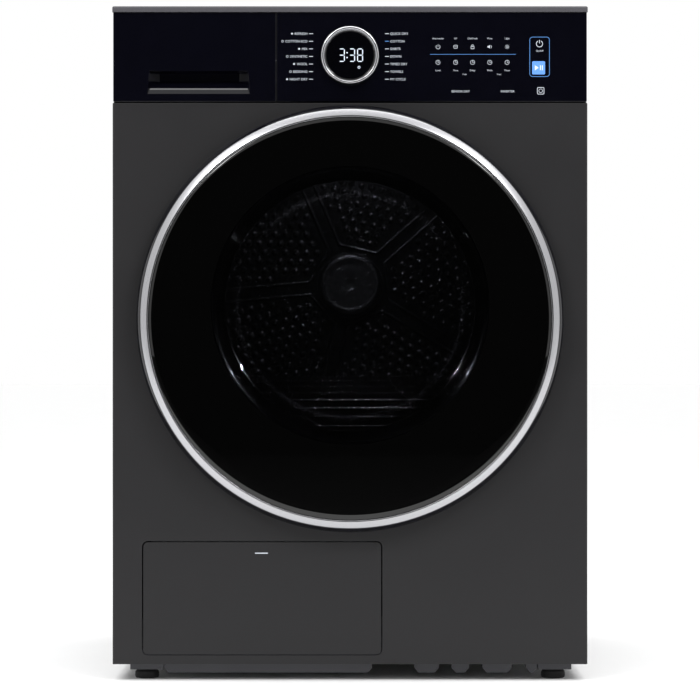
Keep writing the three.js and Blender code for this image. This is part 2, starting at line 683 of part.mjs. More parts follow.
function idlerPulley() {
  return tubeY(5 + GAP, IDLER_R, [BELT_Y[0] - 1, BELT_Y[1] + 1], MEDIUM);
}

// ---- Heat pump ----
// A fin pack: a block slotted from above.
function finPack(y) {
  const [x0, x1, z0, z1] = [-245, 25, TRAY_Z + WALL + 2, 178];
  const fins = 15;
  const pitch = (x1 - x0) / fins;
  const slots = [];
  for (let i = 0; i < fins; i++)
    slots.push(block([x0 + i * pitch + 4, x0 + (i + 1) * pitch], [y[0] - 1, y[1] + 1], [z0 + 12, z1 - 8]));
  return carve([block([x0, x1], y, [z0, z1])], slots.slice(0, -1));
}

function compressor() {
  const r = 58;
  const can = upright([[0, 30], [r - 20, 30], [r, 48], [r, 165], [r - 12, 182], [r - 35, 190], [0, 190]]);
  const receiver = tubeZ(0, 16, [60, 165], SMALL).translate(-r - 12, -12, 0);
  const strap = block([-r - 12, 0], [-16, -8], [100, 112]);
  return carve([can, receiver, strap]);
}

function pump() {
  const body = block([-30, 30], [-24, 24], [TRAY_Z + WALL + 1, 66]);
  return carve([body, tubeZ(0, 16, [65, 88], SMALL), tubeX(0, 6, [28, 48], [0, 50])]);
}

// ---- Rear of the drum ----
function rearAirDuct() {
  const [inner, outer, y0, y1] = [30, 265, DRUM_BACK_Y + 12, DRUM_BACK_Y + 35];
  return turned([
    [inner, y1], [outer, y1], [outer, y0], [outer - SHEET, y0], [outer - SHEET, y1 - SHEET],
    [inner, y1 - SHEET],
  ], LARGE);
}

// A pressed channel across the rear panel holds the drum bearing.
function bearingBracket() {
  const [half, z, y0, y1] = [150, 34, DRUM_BACK_Y + 36, REAR_Y - SHEET - GAP];
  const parts = [block([-half, half], [y0, y1], [-z, z])];
  const inside = block([-half - 1, half + 1], [y0 + WALL, y1 + 1], [-z + WALL, z - WALL]);
  const cup = tubeY(0, 27, [y0, y0 + 20]);
  const bore = tubeY(0, 22 + GAP, [y0 - 1, y1 + 1]);
  return geometryOf(minus(minus(union(parts), [inside]).add(solid(cup)), [bore]));
}

function rearBearing() {
  const y0 = DRUM_BACK_Y + 37;
  return tubeY(SHAFT_R + GAP, 22, [y0, y0 + 16]);
}

// ---- Water tank drawer ----
// The drawer front is a shell with a finger grip moulded into it.
function tankFront() {
  const [z0, z1] = [FRONT_TOP_Z + 0.6, WORKTOP_Z - GAP];
  const outer = block(DRAWER_X, [PANEL_FRONT_Y, PANEL_BACK_Y], [z0, z1]);
  const inner = block(
    [DRAWER_X[0] + WALL, DRAWER_X[1] - WALL],
    [PANEL_FRONT_Y + WALL, PANEL_BACK_Y + 1],
    [z0 + WALL, z1 - WALL],
  );
  const pocket = block(
    [GRIP.x[0] - WALL, GRIP.x[1] + WALL],
    [PANEL_FRONT_Y + 1, TANK.y[0] - GAP],
    [GRIP.z[0] - 2, GRIP.top + WALL],
  );
  const lip = PANEL_FRONT_Y + WALL;
  const grip = alongX(polygon([
    [PANEL_FRONT_Y - 1, GRIP.z[0] - 1], [GRIP.back, GRIP.z[0] + 17], [GRIP.back, GRIP.top],
    [lip, GRIP.top], [lip, GRIP.z[1]], [PANEL_FRONT_Y - 1, GRIP.z[1]],
  ]), GRIP.x);
  return geometryOf(minus(minus(union([outer]), [inner]).add(solid(pocket)), [grip]));
}

function waterTank() {
  const t = 2.5;
  const { x, y, z } = TANK;
  const inside = block([x[0] + t, x[1] - t], [y[0] + t, y[1] - t], [z[0] + t, z[1] + 1]);
  return carve([block(x, y, z)], [inside]);
}

function tankGuide() {
  const [t, low, high] = [2.4, 762, 792];
  const [x, y] = [[TANK.x[0] - 5, TANK.x[1] + 5], [TANK.y[0] + 6, TANK.y[1] + 7]];
  const inside = block([x[0] + t, x[1] - t], [y[0] - 1, y[1] - t], [low + t, high + 1]);
  return carve([block(x, y, [low, high])], [inside]);
}

// ---- Control panel ----
function controlPanel() {
  const [z0, z1] = [FRONT_TOP_Z + 0.6, WORKTOP_Z - GAP];
  const outer = block(PANEL_X, [PANEL_FRONT_Y, PANEL_BACK_Y], [z0, z1]);
  const inner = block(
    [PANEL_X[0] + WALL, PANEL_X[1] - WALL],
    [PANEL_FRONT_Y + WALL, PANEL_BACK_Y + 1],
    [z0 + WALL, z1 - WALL],
  );
  const through = [PANEL_FRONT_Y - 1, PANEL_FRONT_Y + WALL + 1];
  const hole = tubeY(0, DIAL_R[1] + GAP, through).translate(0, 0, DIAL_Z);
  return carve([outer], [inner, hole]);
}

function displayLens() {
  const front = PANEL_FRONT_Y - 7;
  return turned([
    [0, front], [LENS_R, front], [LENS_R, BOARD_Y - GAP], [LENS_R - WALL, BOARD_Y - GAP],
    [LENS_R - WALL, front + WALL], [0, front + WALL],
  ]);
}

function programDial() {
  const [inner, outer] = DIAL_R;
  const front = PANEL_FRONT_Y - 11;
  return turned([
    [inner, front + 1], [inner + 1, front], [outer - 1.5, front], [outer, front + 1.5],
    [outer, PANEL_FRONT_Y + 12], [inner, PANEL_FRONT_Y + 12],
  ]);
}

function controlBoard() {
  const plate = block([-70, 280], [BOARD_Y, BOARD_Y + 1.6], [735, 828]);
  const chipX = [[60, 90], [130, 150], [200, 246]];
  const chips = chipX.map((x) => block(x, [BOARD_Y + 1.5, BOARD_Y + 8], [760, 790]));
  return carve([plate, ...chips]);
}

// ---- Access flap and the cover behind it ----
function accessFlap() {
  const back = FRONT_Y + 8;
  const [y, z] = FLAP_HINGE;
  const plate = alongY(roundedRect(FLAP.x, FLAP.z, FLAP.r), [FRONT_Y, back]);
  const hollowX = [FLAP.x[0] + WALL, FLAP.x[1] - WALL];
  const hollowZ = [FLAP.z[0] + 12, FLAP.z[1] - WALL];
  const hollow = alongY(roundedRect(hollowX, hollowZ, FLAP.r - WALL), [FRONT_Y + 2.5, back + 1]);
  const pins = [[FLAP.x[0] - 3, FLAP.x[0] + 1], [FLAP.x[1] - 1, FLAP.x[1] + 3]];
  return carve([plate, ...pins.map((x) => tubeX(0, FLAP_PIN_R, x, [y, z]))], [hollow]);
}

function exchangerCover() {
  const [x, y, z] = [[-250, 30], [-270, TRAY_Y[0] - GAP], [44, 186]];
  const grip = block([-140, -80], [y[0] - 1, y[0] + 4], [96, 116]);
  const through = [y[0] - 1, y[1] + 1];
  const pinHoles = LOCK_X.map((px) => tubeY(0, 4 + GAP, through, SMALL).translate(px, 0, LOCK_Z));
  return carve([block(x, y, z)], [grip, ...pinHoles]);
}

// A quarter-turn lever that clamps the cover's edge.
function coverLock() {
  const y = [-275.4, -270.4];
  return carve([
    alongY(roundedRect([-6, 6], [-22, 22], 5), y),
    tubeY(0, 9, y, SMALL),
    tubeY(0, 4, [y[1] - 1, -264], SMALL),
  ]);
}

// ---- Assembly ----
const cabinet = group(dryer);
piece(cabinet, "front_panel", frontPanel(), "graphite");
piece(cabinet, "left_side_panel", sidePanel(-1), "graphite");
piece(cabinet, "right_side_panel", sidePanel(1), "graphite");
piece(cabinet, "rear_panel", rearPanel(), "zinc");
piece(cabinet, "worktop", worktop(), "graphite");
piece(cabinet, "rear_duct_cover", rearDuctCover(), "zinc");
piece(cabinet, "power_inlet", powerInlet(), "plastic");
piece(cabinet, "base_tray", baseTray(), "plastic");
piece(cabinet, "control_panel", controlPanel(), "gloss");
piece(cabinet, "control_board", controlBoard(), "board");
piece(cabinet, "tank_guide", tankGuide(), "grey");
piece(cabinet, "front_bulkhead", frontBulkhead(), "plastic");
piece(cabinet, "latch_housing", latchHousing(), "grey");
piece(cabinet, "door_hinge_bracket", hingeBracket(), "zinc");
piece(cabinet, "heat_exchanger_cover", exchangerCover(), "grey");
piece(cabinet, "evaporator", finPack([-225, -105]), "zinc");
piece(cabinet, "condenser", finPack([-90, 40]), "zinc");
piece(group(cabinet, 190, 215), "compressor", compressor(), "plastic");
piece(group(cabinet, -205, 190), "condensate_pump", pump(), "grey");

const dialAxis = group(cabinet, 0, 0, DIAL_Z);
piece(dialAxis, "display_lens", displayLens(), "glass");
piece(dialAxis, "program_dial", programDial(), "silver");

const drumAxis = group(cabinet, 0, 0, DRUM_Z);
piece(drumAxis, "front_felt_seal", tubeY(...FELT_R, [REAR_PLATE_Y + GAP, REAR_PLATE_Y + 9], LARGE), "felt");
piece(drumAxis, "rear_air_duct", rearAirDuct(), "zinc");
piece(drumAxis, "bearing_bracket", bearingBracket(), "zinc");
piece(drumAxis, "rear_bearing", rearBearing(), "steel");
piece(drumAxis, "drum_shell", drumShell(), "steel");
piece(drumAxis, "drum_back", drumBack(), "steel");
piece(drumAxis, "drum_hub_cap", hubCap(), "steel");
piece(drumAxis, "drum_shaft", drumShaft(), "steel");
for (let i = 0; i < LIFTERS; i++)
  piece(drumAxis, `lifter_${i + 1}`, lifter(), "grey").rotation.y = Math.PI + (i * Math.PI * 2) / LIFTERS;

ROLLER_PLACES.forEach(([x, z], i) => {
  piece(group(cabinet, x, ROLLER_Y, z), ["drum_roller_left", "drum_roller_right"][i], roller(), "rubber");
});
const motorAxis = group(cabinet, MOTOR_X, 0, MOTOR_Z);
piece(motorAxis, "motor", motor(), "zinc");
piece(motorAxis, "motor_pulley", motorPulley(), "steel");
piece(motorAxis, "fan_wheel", fanWheel(), "plastic");
piece(motorAxis, "fan_housing", fanHousing(), "plastic");
piece(cabinet, "drum_belt", drumBelt(), "rubber");
piece(group(cabinet, ARM_PIVOT[0], 0, ARM_PIVOT[1]), "idler_arm", idlerArm(), "zinc");
piece(group(cabinet, DRIVE.idler.x, 0, DRIVE.idler.y), "idler_pulley", idlerPulley(), "plastic");

const door = group(dryer, 0, 0, DOOR_Z);
piece(door, "door_bezel", doorBezel(), "gloss");
piece(door, "door_trim_ring", doorTrimRing(), "silver");
piece(door, "door_glass", doorGlass(), "glass");
piece(door, "door_inner_frame", doorInnerFrame(), "plastic");
piece(door, "door_bowl", doorBowl(), "clear");
piece(door, "door_seal", doorSeal(), "rubber");
piece(door, "door_strike", doorStrike(), "zinc");
piece(door, "door_hinge_leaf", doorHingeLeaf(), "zinc");
piece(door, "door_hinge_pin", doorHingePin(), "steel");

const drawer = group(dryer);
piece(drawer, "tank_front", tankFront(), "gloss");
piece(drawer, "water_tank", waterTank(), "clear");

piece(dryer, "lint_filter", lintFilter(), "grey");
piece(dryer, "access_flap", accessFlap(), "graphite");
LOCK_X.forEach((x, i) => {
  piece(group(dryer, x, 0, LOCK_Z), ["cover_lock_left", "cover_lock_right"][i], coverLock(), "plastic");
});

for (const [yName, y] of [["front", FOOT_Y[0]], ["rear", FOOT_Y[1]]])
  for (const [xName, x] of [["left", -FOOT_X], ["right", FOOT_X]])
    piece(group(dryer, x, y), `foot_${yName}_${xName}`, foot(), "rubber");

export default dryer;
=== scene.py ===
# %% [markdown]
# # A clothes dryer in a pale studio
# The machine's working solids were drawn first, in real millimetres. This lesson loads them as a fixed
# frame and builds the looks round them: rolled sheet steel, gloss mouldings, a dark glass door with the
# drum behind it, and the printing on the panel. Each cell makes one thing and prints what it made.

# %% Load the frame
import math

import bmesh
import bpy
from mathutils import Matrix, Vector


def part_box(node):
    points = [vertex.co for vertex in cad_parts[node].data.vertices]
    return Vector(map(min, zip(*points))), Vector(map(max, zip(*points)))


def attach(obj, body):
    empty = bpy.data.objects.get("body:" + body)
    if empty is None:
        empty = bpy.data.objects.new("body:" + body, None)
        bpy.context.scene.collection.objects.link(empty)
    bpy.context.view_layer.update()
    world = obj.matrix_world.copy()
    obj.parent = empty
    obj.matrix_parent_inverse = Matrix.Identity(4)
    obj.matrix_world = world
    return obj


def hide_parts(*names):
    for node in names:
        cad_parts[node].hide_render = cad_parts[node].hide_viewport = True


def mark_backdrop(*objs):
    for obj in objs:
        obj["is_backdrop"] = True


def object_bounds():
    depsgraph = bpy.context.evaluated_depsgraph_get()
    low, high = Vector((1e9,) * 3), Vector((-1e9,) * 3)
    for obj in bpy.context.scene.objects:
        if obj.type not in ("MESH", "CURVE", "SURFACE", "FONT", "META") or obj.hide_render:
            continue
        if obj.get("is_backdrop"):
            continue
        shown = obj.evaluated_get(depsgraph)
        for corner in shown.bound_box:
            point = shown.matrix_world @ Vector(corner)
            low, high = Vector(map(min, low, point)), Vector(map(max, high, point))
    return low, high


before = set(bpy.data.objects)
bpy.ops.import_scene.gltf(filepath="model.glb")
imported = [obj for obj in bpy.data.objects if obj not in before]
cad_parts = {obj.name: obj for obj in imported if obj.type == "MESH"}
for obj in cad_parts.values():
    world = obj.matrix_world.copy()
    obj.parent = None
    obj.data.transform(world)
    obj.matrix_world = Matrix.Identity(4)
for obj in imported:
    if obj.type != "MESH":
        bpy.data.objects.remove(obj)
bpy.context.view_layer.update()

MM = 0.001  # sizes below are in millimetres, and Blender works in metres

# %% [markdown]
# ## Working by hand, in code
# Every piece starts as a primitive, is shaped with the edit-mode operators and is finished with
# modifiers. An operator works on whatever is selected, so the first helper makes one object the only
# selected one. The next helpers add a block, a rod or a plate at its real size and place, and pick faces
# or edges by a test.

# %% Helpers for selecting and applying
def only(piece):
    """Makes one object the active and only selected one, in object mode."""
    if bpy.context.mode != "OBJECT":
        bpy.ops.object.mode_set(mode="OBJECT")
    bpy.ops.object.select_all(action="DESELECT")
    piece.select_set(True)
    bpy.context.view_layer.objects.active = piece


def named(name):
    """Names the primitive just added and puts its place into its mesh."""
    piece = bpy.context.active_object
    piece.name = piece.data.name = name
    only(piece)
    bpy.ops.object.transform_apply(location=True, rotation=True, scale=True)
    return piece


def modify(piece, kind, **settings):
    """Adds one modifier and applies it."""
    only(piece)
    modifier = piece.modifiers.new(kind.lower(), kind)
    for key, value in settings.items():
        setattr(modifier, key, value)
    bpy.ops.object.modifier_apply(modifier=modifier.name)
    return piece


def pick(piece, kind, test):
    """Goes to edit mode and selects the VERT, EDGE or FACE parts that pass a test."""
    only(piece)
    bpy.ops.object.mode_set(mode="EDIT")
    bpy.ops.mesh.select_mode(type=kind)
    bpy.ops.mesh.select_all(action="DESELECT")
    mesh = bmesh.from_edit_mesh(piece.data)
    for part in {"VERT": mesh.verts, "EDGE": mesh.edges, "FACE": mesh.faces}[kind]:
        if test(part):
            part.select_set(True)
    mesh.select_flush_mode()
    bmesh.update_edit_mesh(piece.data)


def faces_out(piece):
    """Merges doubled points and turns every face outwards."""
    pick(piece, "VERT", lambda vert: True)
    bpy.ops.mesh.remove_doubles(threshold=0.002 * MM)
    bpy.ops.mesh.normals_make_consistent(inside=False)
    bpy.ops.object.mode_set(mode="OBJECT")
    return piece


def soften(piece, width=0.6, segments=2, angle=35):
    """Rounds the sharp edges and shades the rest smooth."""
    modify(piece, "BEVEL", width=width * MM, segments=segments, limit_method="ANGLE",
           angle_limit=math.radians(angle), use_clamp_overlap=True)
    only(piece)
    bpy.ops.object.shade_smooth_by_angle(angle=math.radians(angle))
    return modify(piece, "WEIGHTED_NORMAL", keep_sharp=True, weight=80)


# %% Helpers that start a piece
def block(name, x, y, z):
    """A box from its limits along X, Y and Z."""
    limits = [x, y, z]
    bpy.ops.object.select_all(action="DESELECT")
    bpy.ops.mesh.primitive_cube_add(
        size=1, location=[(a + b) / 2 * MM for a, b in limits], scale=[(b - a) * MM for a, b in limits])
    return named(name)


def rod(name, radius, y, x=0, z=0, sides=160):
    """A cylinder along Y."""
    bpy.ops.object.select_all(action="DESELECT")
    bpy.ops.mesh.primitive_cylinder_add(
        vertices=sides, radius=radius * MM, depth=(y[1] - y[0]) * MM,
        location=(x * MM, (y[0] + y[1]) / 2 * MM, z * MM), rotation=(math.pi / 2, 0, 0))
    return named(name)


def pin(name, radius, x, y, z, sides=24):
    """A cylinder along X."""
    bpy.ops.object.select_all(action="DESELECT")
    bpy.ops.mesh.primitive_cylinder_add(
        vertices=sides, radius=radius * MM, depth=(x[1] - x[0]) * MM,
        location=((x[0] + x[1]) / 2 * MM, y * MM, z * MM), rotation=(0, math.pi / 2, 0))
    return named(name)


def outline(name, points, fill="NGON"):
    """A circle with as many corners as there are points, its corners moved onto them."""
    bpy.ops.object.select_all(action="DESELECT")
    bpy.ops.mesh.primitive_circle_add(vertices=len(points), radius=MM, fill_type=fill)
    piece = named(name)
    for corner, point in zip(piece.data.vertices, points):
        corner.co = Vector(point) * MM
    return piece


def plate(name, points, y):
    """An outline of (x, z) points, filled and extruded from one y to another."""
    piece = outline(name, [(a, y[0], b) for a, b in points])
    pick(piece, "FACE", lambda face: True)
    bpy.ops.mesh.extrude_region_move(TRANSFORM_OT_translate={"value": (0, (y[1] - y[0]) * MM, 0)})
    return faces_out(piece)


def beam(name, points, x):
    """An outline of (y, z) points, filled and extruded from one x to another."""
    piece = outline(name, [(x[0], a, b) for a, b in points])
    pick(piece, "FACE", lambda face: True)
    bpy.ops.mesh.extrude_region_move(TRANSFORM_OT_translate={"value": ((x[1] - x[0]) * MM, 0, 0)})
    return faces_out(piece)


def filleted(points, steps=4):
    """Rounds each corner that gives a radius as its third value."""
    made = []
    for i, point in enumerate(points):
        corner = Vector(point[:2])
        if len(point) < 3:
            made.append(corner)
            continue
        before, after = Vector(points[i - 1][:2]), Vector(points[(i + 1) % len(points)][:2])
        arms = [(end - corner) for end in (before, after)]
        starts = [corner + arm.normalized() * min(point[2], arm.length * 0.45) for arm in arms]
        for k in range(steps + 1):
            t = k / steps
            made.append(starts[0] * (1 - t) ** 2 + corner * 2 * t * (1 - t) + starts[1] * t ** 2)
    return made


def turned(name, profile, x=0, z=0, steps=160, upright=None):
    """Spins a closed profile of (radius, y[, fillet]) points round Y, or round Z at upright=(x, y)."""
    flat = filleted(profile)
    if upright:
        points = [(upright[0] + radius, upright[1], height) for radius, height in flat]
        centre, axis = (upright[0] * MM, upright[1] * MM, 0), (0, 0, 1)
    else:
        points = [(x + radius, depth, z) for radius, depth in flat]
        centre, axis = (x * MM, 0, z * MM), (0, 1, 0)
    piece = outline(name, points, fill="NOTHING")
    pick(piece, "VERT", lambda vert: True)
    bpy.ops.mesh.spin(steps=steps, dupli=False, angle=math.tau, center=centre, axis=axis)
    faces_out(piece)
    only(piece)
    bpy.ops.object.shade_smooth_by_angle(angle=math.radians(35))
    return piece


def round_corners(x, z, radius, steps=8):
    """The outline of a rectangle with round corners, as (x, z) points."""
    points = []
    for turn, (a, b) in enumerate([(x[1], z[0]), (x[1], z[1]), (x[0], z[1]), (x[0], z[0])]):
        centre_a = a - math.copysign(radius, a - (x[0] + x[1]) / 2)
        centre_b = b - math.copysign(radius, b - (z[0] + z[1]) / 2)
        for k in range(steps + 1):
            angle = math.radians(-90 + 90 * turn + 90 * k / steps)
            points.append((centre_a + radius * math.cos(angle), centre_b + radius * math.sin(angle)))
    return points


# %% Helpers that combine and copy
def combine(piece, operation, *tools):
    """Cuts tools from a piece, or joins them to it, and removes the tools."""
    for tool in tools:
        modify(piece, "BOOLEAN", object=tool, operation=operation, solver="EXACT")
        bpy.data.objects.remove(tool)
    return piece


def joined(name, pieces):
    """Makes one object out of several."""
    only(pieces[0])
    for piece in pieces:
        piece.select_set(True)
    bpy.ops.object.join()
    return named(name)


def copied(piece, place):
    """A copy with its own mesh, moved by a matrix."""
    twin = piece.copy()
    twin.data = piece.data.copy()
    bpy.context.collection.objects.link(twin)
    twin.data.transform(place)
    return twin


def shift(x=0, y=0, z=0):
    return Matrix.Translation(Vector((x, y, z)) * MM)


def turn_about(angle, axis, x=0, y=0, z=0):
    """A turn in degrees about an axis through a point."""
    return shift(x, y, z) @ Matrix.Rotation(math.radians(angle), 4, axis) @ shift(-x, -y, -z)


def settle(piece, body, slot, finish, *stands_for):
    """Gives a finished piece its material, hangs it on its body and hides the solids it stands for."""
    piece.data.materials.clear()
    piece.data.materials.append(finish)
    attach(piece, body)
    if stands_for:
        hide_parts(*stands_for)
    print(f"{piece.name}: {len(piece.data.polygons)} faces on {body}")
    return piece


def solid_copy(node, name, width, segments=2):
    """A copy of one solid with its triangles merged into flat faces and its edges rounded."""
    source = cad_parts[node]
    piece = source.copy()
    piece.data = source.data.copy()
    piece.parent = None
    for key in list(piece.keys()):
        del piece[key]
    bpy.context.collection.objects.link(piece)
    piece.name = piece.data.name = name
    pick(piece, "VERT", lambda vert: True)
    bpy.ops.mesh.remove_doubles(threshold=0.01 * MM)
    bpy.ops.mesh.dissolve_limited(angle_limit=math.radians(1))
    bpy.ops.object.mode_set(mode="OBJECT")
    return soften(piece, width, segments)


# %% [markdown]
# ## Finishes
# A finish is a Principled shader and a few pattern nodes that read the object's own coordinates in
# metres, so a grain of half a millimetre is a scale of 2000. One function adds a node with its settings
# and links. Colours are written as the hex values a painter would pick, and one function turns them to
# the linear values Blender works in.

# %% Colour and node helpers
def linear(code):
    """An sRGB hex value as linear red, green, blue and alpha."""
    values = [int(code[i:i + 2], 16) / 255 for i in (1, 3, 5)]
    return [v / 12.92 if v <= 0.04045 else ((v + 0.055) / 1.055) ** 2.4 for v in values] + [1]


def add(tree, kind, settings=None, links=None):
    """Adds a shader node: settings fills its fields and sockets, links joins its sockets to other outputs."""
    made = tree.nodes.new("ShaderNode" + kind)
    for key, value in (settings or {}).items():
        if isinstance(key, int) or key in made.inputs:
            made.inputs[key].default_value = value
        else:
            setattr(made, key, value)
    for key, source in (links or {}).items():
        tree.links.new(source, made.inputs[key])
    return made


def begin(name, colour, roughness, **sockets):
    """A new finish: returns its material, node tree, shader and object coordinates."""
    material = bpy.data.materials.new(name)
    material.use_nodes = True
    tree = material.node_tree
    shader = tree.nodes["Principled BSDF"]
    shader.inputs["Base Color"].default_value = linear(colour)
    shader.inputs["Roughness"].default_value = roughness
    for key, value in sockets.items():
        shader.inputs[key.replace("_", " ")].default_value = value
    coords = add(tree, "TexCoord").outputs["Object"]
    return material, tree, shader, coords


def ramp(tree, source, low, high, start=0.3, end=0.7):
    """Maps a pattern to a run between two colours or two grey values."""
    made = add(tree, "ValToRGB", links={"Fac": source})
    for stop, place, value in zip(made.color_ramp.elements, (start, end), (low, high)):
        stop.position = place
        stop.color = linear(value) if isinstance(value, str) else (value, value, value, 1)
    return made.outputs["Color"]


def bump(tree, shader, height, strength, depth):
    """Turns a pattern into a relief of the given depth in millimetres."""
    relief = add(tree, "Bump", {"Strength": strength, "Distance": depth * MM}, {"Height": height})
    tree.links.new(relief.outputs["Normal"], shader.inputs["Normal"])


# %% [markdown]
# ### Powder coat and mouldings
# Powder coat is sprayed dry and baked: it flows into a fine orange-peel skin about a millimetre and a
# half across, with tiny lighter flecks. Moulded plastics take the etched grain of their mould, finer and
# rougher. They differ only in colour, gloss and grain size, so one function makes them all from a few
# words.

# %% Powder coat and moulded plastics
def grained(name, dark, light, roughness, grain, relief, spread=0.06, **sockets):
    """A paint or plastic with a skin of grains, the grain size given in millimetres."""
    material, tree, shader, coords = begin(name, dark, roughness, **sockets)
    fleck = add(tree, "TexNoise", {"Scale": 0.9 / (grain * MM), "Detail": 3}, {"Vector": coords})
    tree.links.new(ramp(tree, fleck.outputs["Fac"], dark, light), shader.inputs["Base Color"])
    cloud = add(tree, "TexNoise", {"Scale": 9, "Detail": 4}, {"Vector": coords})
    tree.links.new(ramp(tree, cloud.outputs["Fac"], roughness - spread, roughness + spread),
                   shader.inputs["Roughness"])
    skin = add(tree, "TexNoise", {"Scale": 0.5 / (grain * MM), "Detail": 2}, {"Vector": coords})
    bump(tree, shader, skin.outputs["Fac"], 0.35, relief)
    return material


# Sprayed and baked dark paint: a soft wide sheen that hides small dents.
graphite = grained("graphite_powder_coat", "#0d0c0e", "#100f12", 0.5, 1.4, 0.05, 0.025, IOR=1.45)
# Moulded against a mirror-polished tool: deep black that shows the room's lights.
gloss_black = grained("gloss_black_abs", "#040409", "#05050b", 0.06, 14, 0.004, 0.015, IOR=1.5)
# Etched moulding: dull black that only lightens at its edges.
black_moulding = grained("black_polypropylene", "#131315", "#1a1a1d", 0.5, 0.8, 0.05)
# Finer etching: its rounded steps each catch one line of light.
black_satin = grained("black_satin_moulding", "#0b0b0d", "#111114", 0.3, 1.2, 0.03)
# Plain mid grey with a fine grain, for parts that are handled when cleaning.
grey_moulding = grained("grey_polypropylene", "#77797c", "#808286", 0.48, 0.8, 0.05)
# Hard pressed laminate: a lighter, faintly pebbled grey than the sheets below it.
laminate = grained("grey_top_laminate", "#3c3b3f", "#424146", 0.4, 1.1, 0.04, 0.03)
# Filled plastic of the tray: a tone lighter than the black mouldings.
tray_moulding = grained("dark_grey_polypropylene", "#2e2e32", "#3a3a3f", 0.5, 0.9, 0.05)
# No gloss at all, so the feet and belt read as soft.
rubber = grained("black_rubber", "#0e0e0e", "#161616", 0.78, 0.9, 0.08)
print("grained finishes ready")

# %% [markdown]
# ### Metals
# The door's trim ring and the dial ring are satin plated. The polishing wheel leaves hairlines that run
# round the ring, so their pattern depends only on the distance from the ring's axis. The drum's stainless
# sheet was rolled flat first, so its lines run along its width. Galvanised sheet shows zinc crystals a
# centimetre across.

# %% Turned, rolled and galvanised metal
def distance_from(tree, coords, x, z):
    """How far a point is from an axis along Y through (x, z) in millimetres, as a pattern."""
    place = {"Location": (-x * MM, 0, -z * MM), "Scale": (1, 0, 1)}
    centred = add(tree, "Mapping", place, {"Vector": coords})
    return add(tree, "VectorMath", {"operation": "LENGTH"}, {0: centred.outputs["Vector"]}).outputs["Value"]


def ring_brushed(name, colour, low, high, x, z, line=0.25):
    """A metal with hairlines round an axis along Y through (x, z)."""
    material, tree, shader, coords = begin(name, colour, low, Metallic=1.0)
    radius = distance_from(tree, coords, x, z)
    lines = add(tree, "TexNoise", {"noise_dimensions": "1D", "Scale": 1 / (line * MM), "Detail": 3},
                {"W": radius})
    tree.links.new(ramp(tree, lines.outputs["Fac"], low, high), shader.inputs["Roughness"])
    bump(tree, shader, lines.outputs["Fac"], 0.12, 0.02)
    return material


def rolled(name, dark, light, low, high, stretch, line=0.4):
    """A metal sheet with rolling lines; stretch flattens the pattern along the way they run."""
    material, tree, shader, coords = begin(name, light, low, Metallic=1.0)
    drawn = add(tree, "Mapping", {"Scale": stretch}, {"Vector": coords})
    lines = add(tree, "TexNoise", {"Scale": 1 / (line * MM), "Detail": 4},
                {"Vector": drawn.outputs["Vector"]})
    tree.links.new(ramp(tree, lines.outputs["Fac"], dark, light), shader.inputs["Base Color"])
    tree.links.new(ramp(tree, lines.outputs["Fac"], low, high), shader.inputs["Roughness"])
    bump(tree, shader, lines.outputs["Fac"], 0.15, 0.02)
    return material


def spangled(name, dark, light, cell):
    """Galvanised sheet with zinc crystals of the given size in millimetres."""
    material, tree, shader, coords = begin(name, dark, 0.42, Metallic=0.85)
    crystals = add(tree, "TexVoronoi", {"Scale": 1 / (cell * MM)}, {"Vector": coords})
    tree.links.new(ramp(tree, crystals.outputs["Color"], dark, light, 0.1, 0.9), shader.inputs["Base Color"])
    tree.links.new(ramp(tree, crystals.outputs["Color"], 0.5, 0.34, 0.1, 0.9), shader.inputs["Roughness"])
    frost = add(tree, "TexNoise", {"Scale": 700, "Detail": 3}, {"Vector": coords})
    bump(tree, shader, frost.outputs["Fac"], 0.2, 0.02)
    return material


DOOR_Z = 453.5  # height of the door's centre
OPENING_Z = 470  # height of the loading opening's centre
DRUM_Z = 508  # height of the drum's axis
DIAL_Z = 783
# Satin plating: bright shoulders under the lights, plain silver between them.
trim_silver = ring_brushed("satin_silver_trim", "#adadb0", 0.2, 0.3, 0, DOOR_Z)
# The same plating polished further, with sharper light and dark.
dial_silver = ring_brushed("satin_silver_dial", "#d0d0d3", 0.14, 0.24, 0, DIAL_Z, 0.15)
# Stainless sheet in a dark drum, its grey set darker than bare stainless as painted shade of the dim inside:
# black where flat, glinting on each pressed edge.
drum_steel = ring_brushed("stainless_drum_sheet_painted_shade", "#606164", 0.28, 0.31, 0, DRUM_Z, 0.5)
# Turned on a lathe: a dull disc with soft rings.
cap_steel = ring_brushed("turned_hub_steel", "#606163", 0.42, 0.52, 0, DRUM_Z, 1.2)
# Machined steel of pins and arms: grey with short drawn glints.
bright_steel = rolled("machined_steel", "#7d7e80", "#96989a", 0.28, 0.42, (1, 0.06, 1))
# Stacked foil: fine light and dark lines, drawn 1.6 mm apart so that they show.
fin_metal = rolled("aluminium_fins", "#8f9194", "#d0d2d4", 0.3, 0.45, (1, 0.02, 0.02), 1.6)
# Blackened screws: dark dots on the zinc.
dark_steel = rolled("blackened_screw_steel", "#29292b", "#38383b", 0.3, 0.42, (1, 0.06, 1))
# Dipped in zinc: dull silver with flakes that each lean their own way.
zinc = spangled("galvanised_sheet", "#8b8e91", "#9fa2a4", 7)
print("metals ready")

# %% [markdown]
# ### Glass and clear mouldings
# The door's outer pane is dark tinted glass with a black border printed on its back, so only the round
# window over the bowl lets the drum show. Thin glass hardly bends light, so each of its two faces is a
# transparent tint mixed with a mirror by Fresnel's law: little comes back head on and more at a glance.
# The bowl is clear plastic made the same way, with a faint tint. The water tank is a milky plastic, which
# a part-transparent shader shows well.

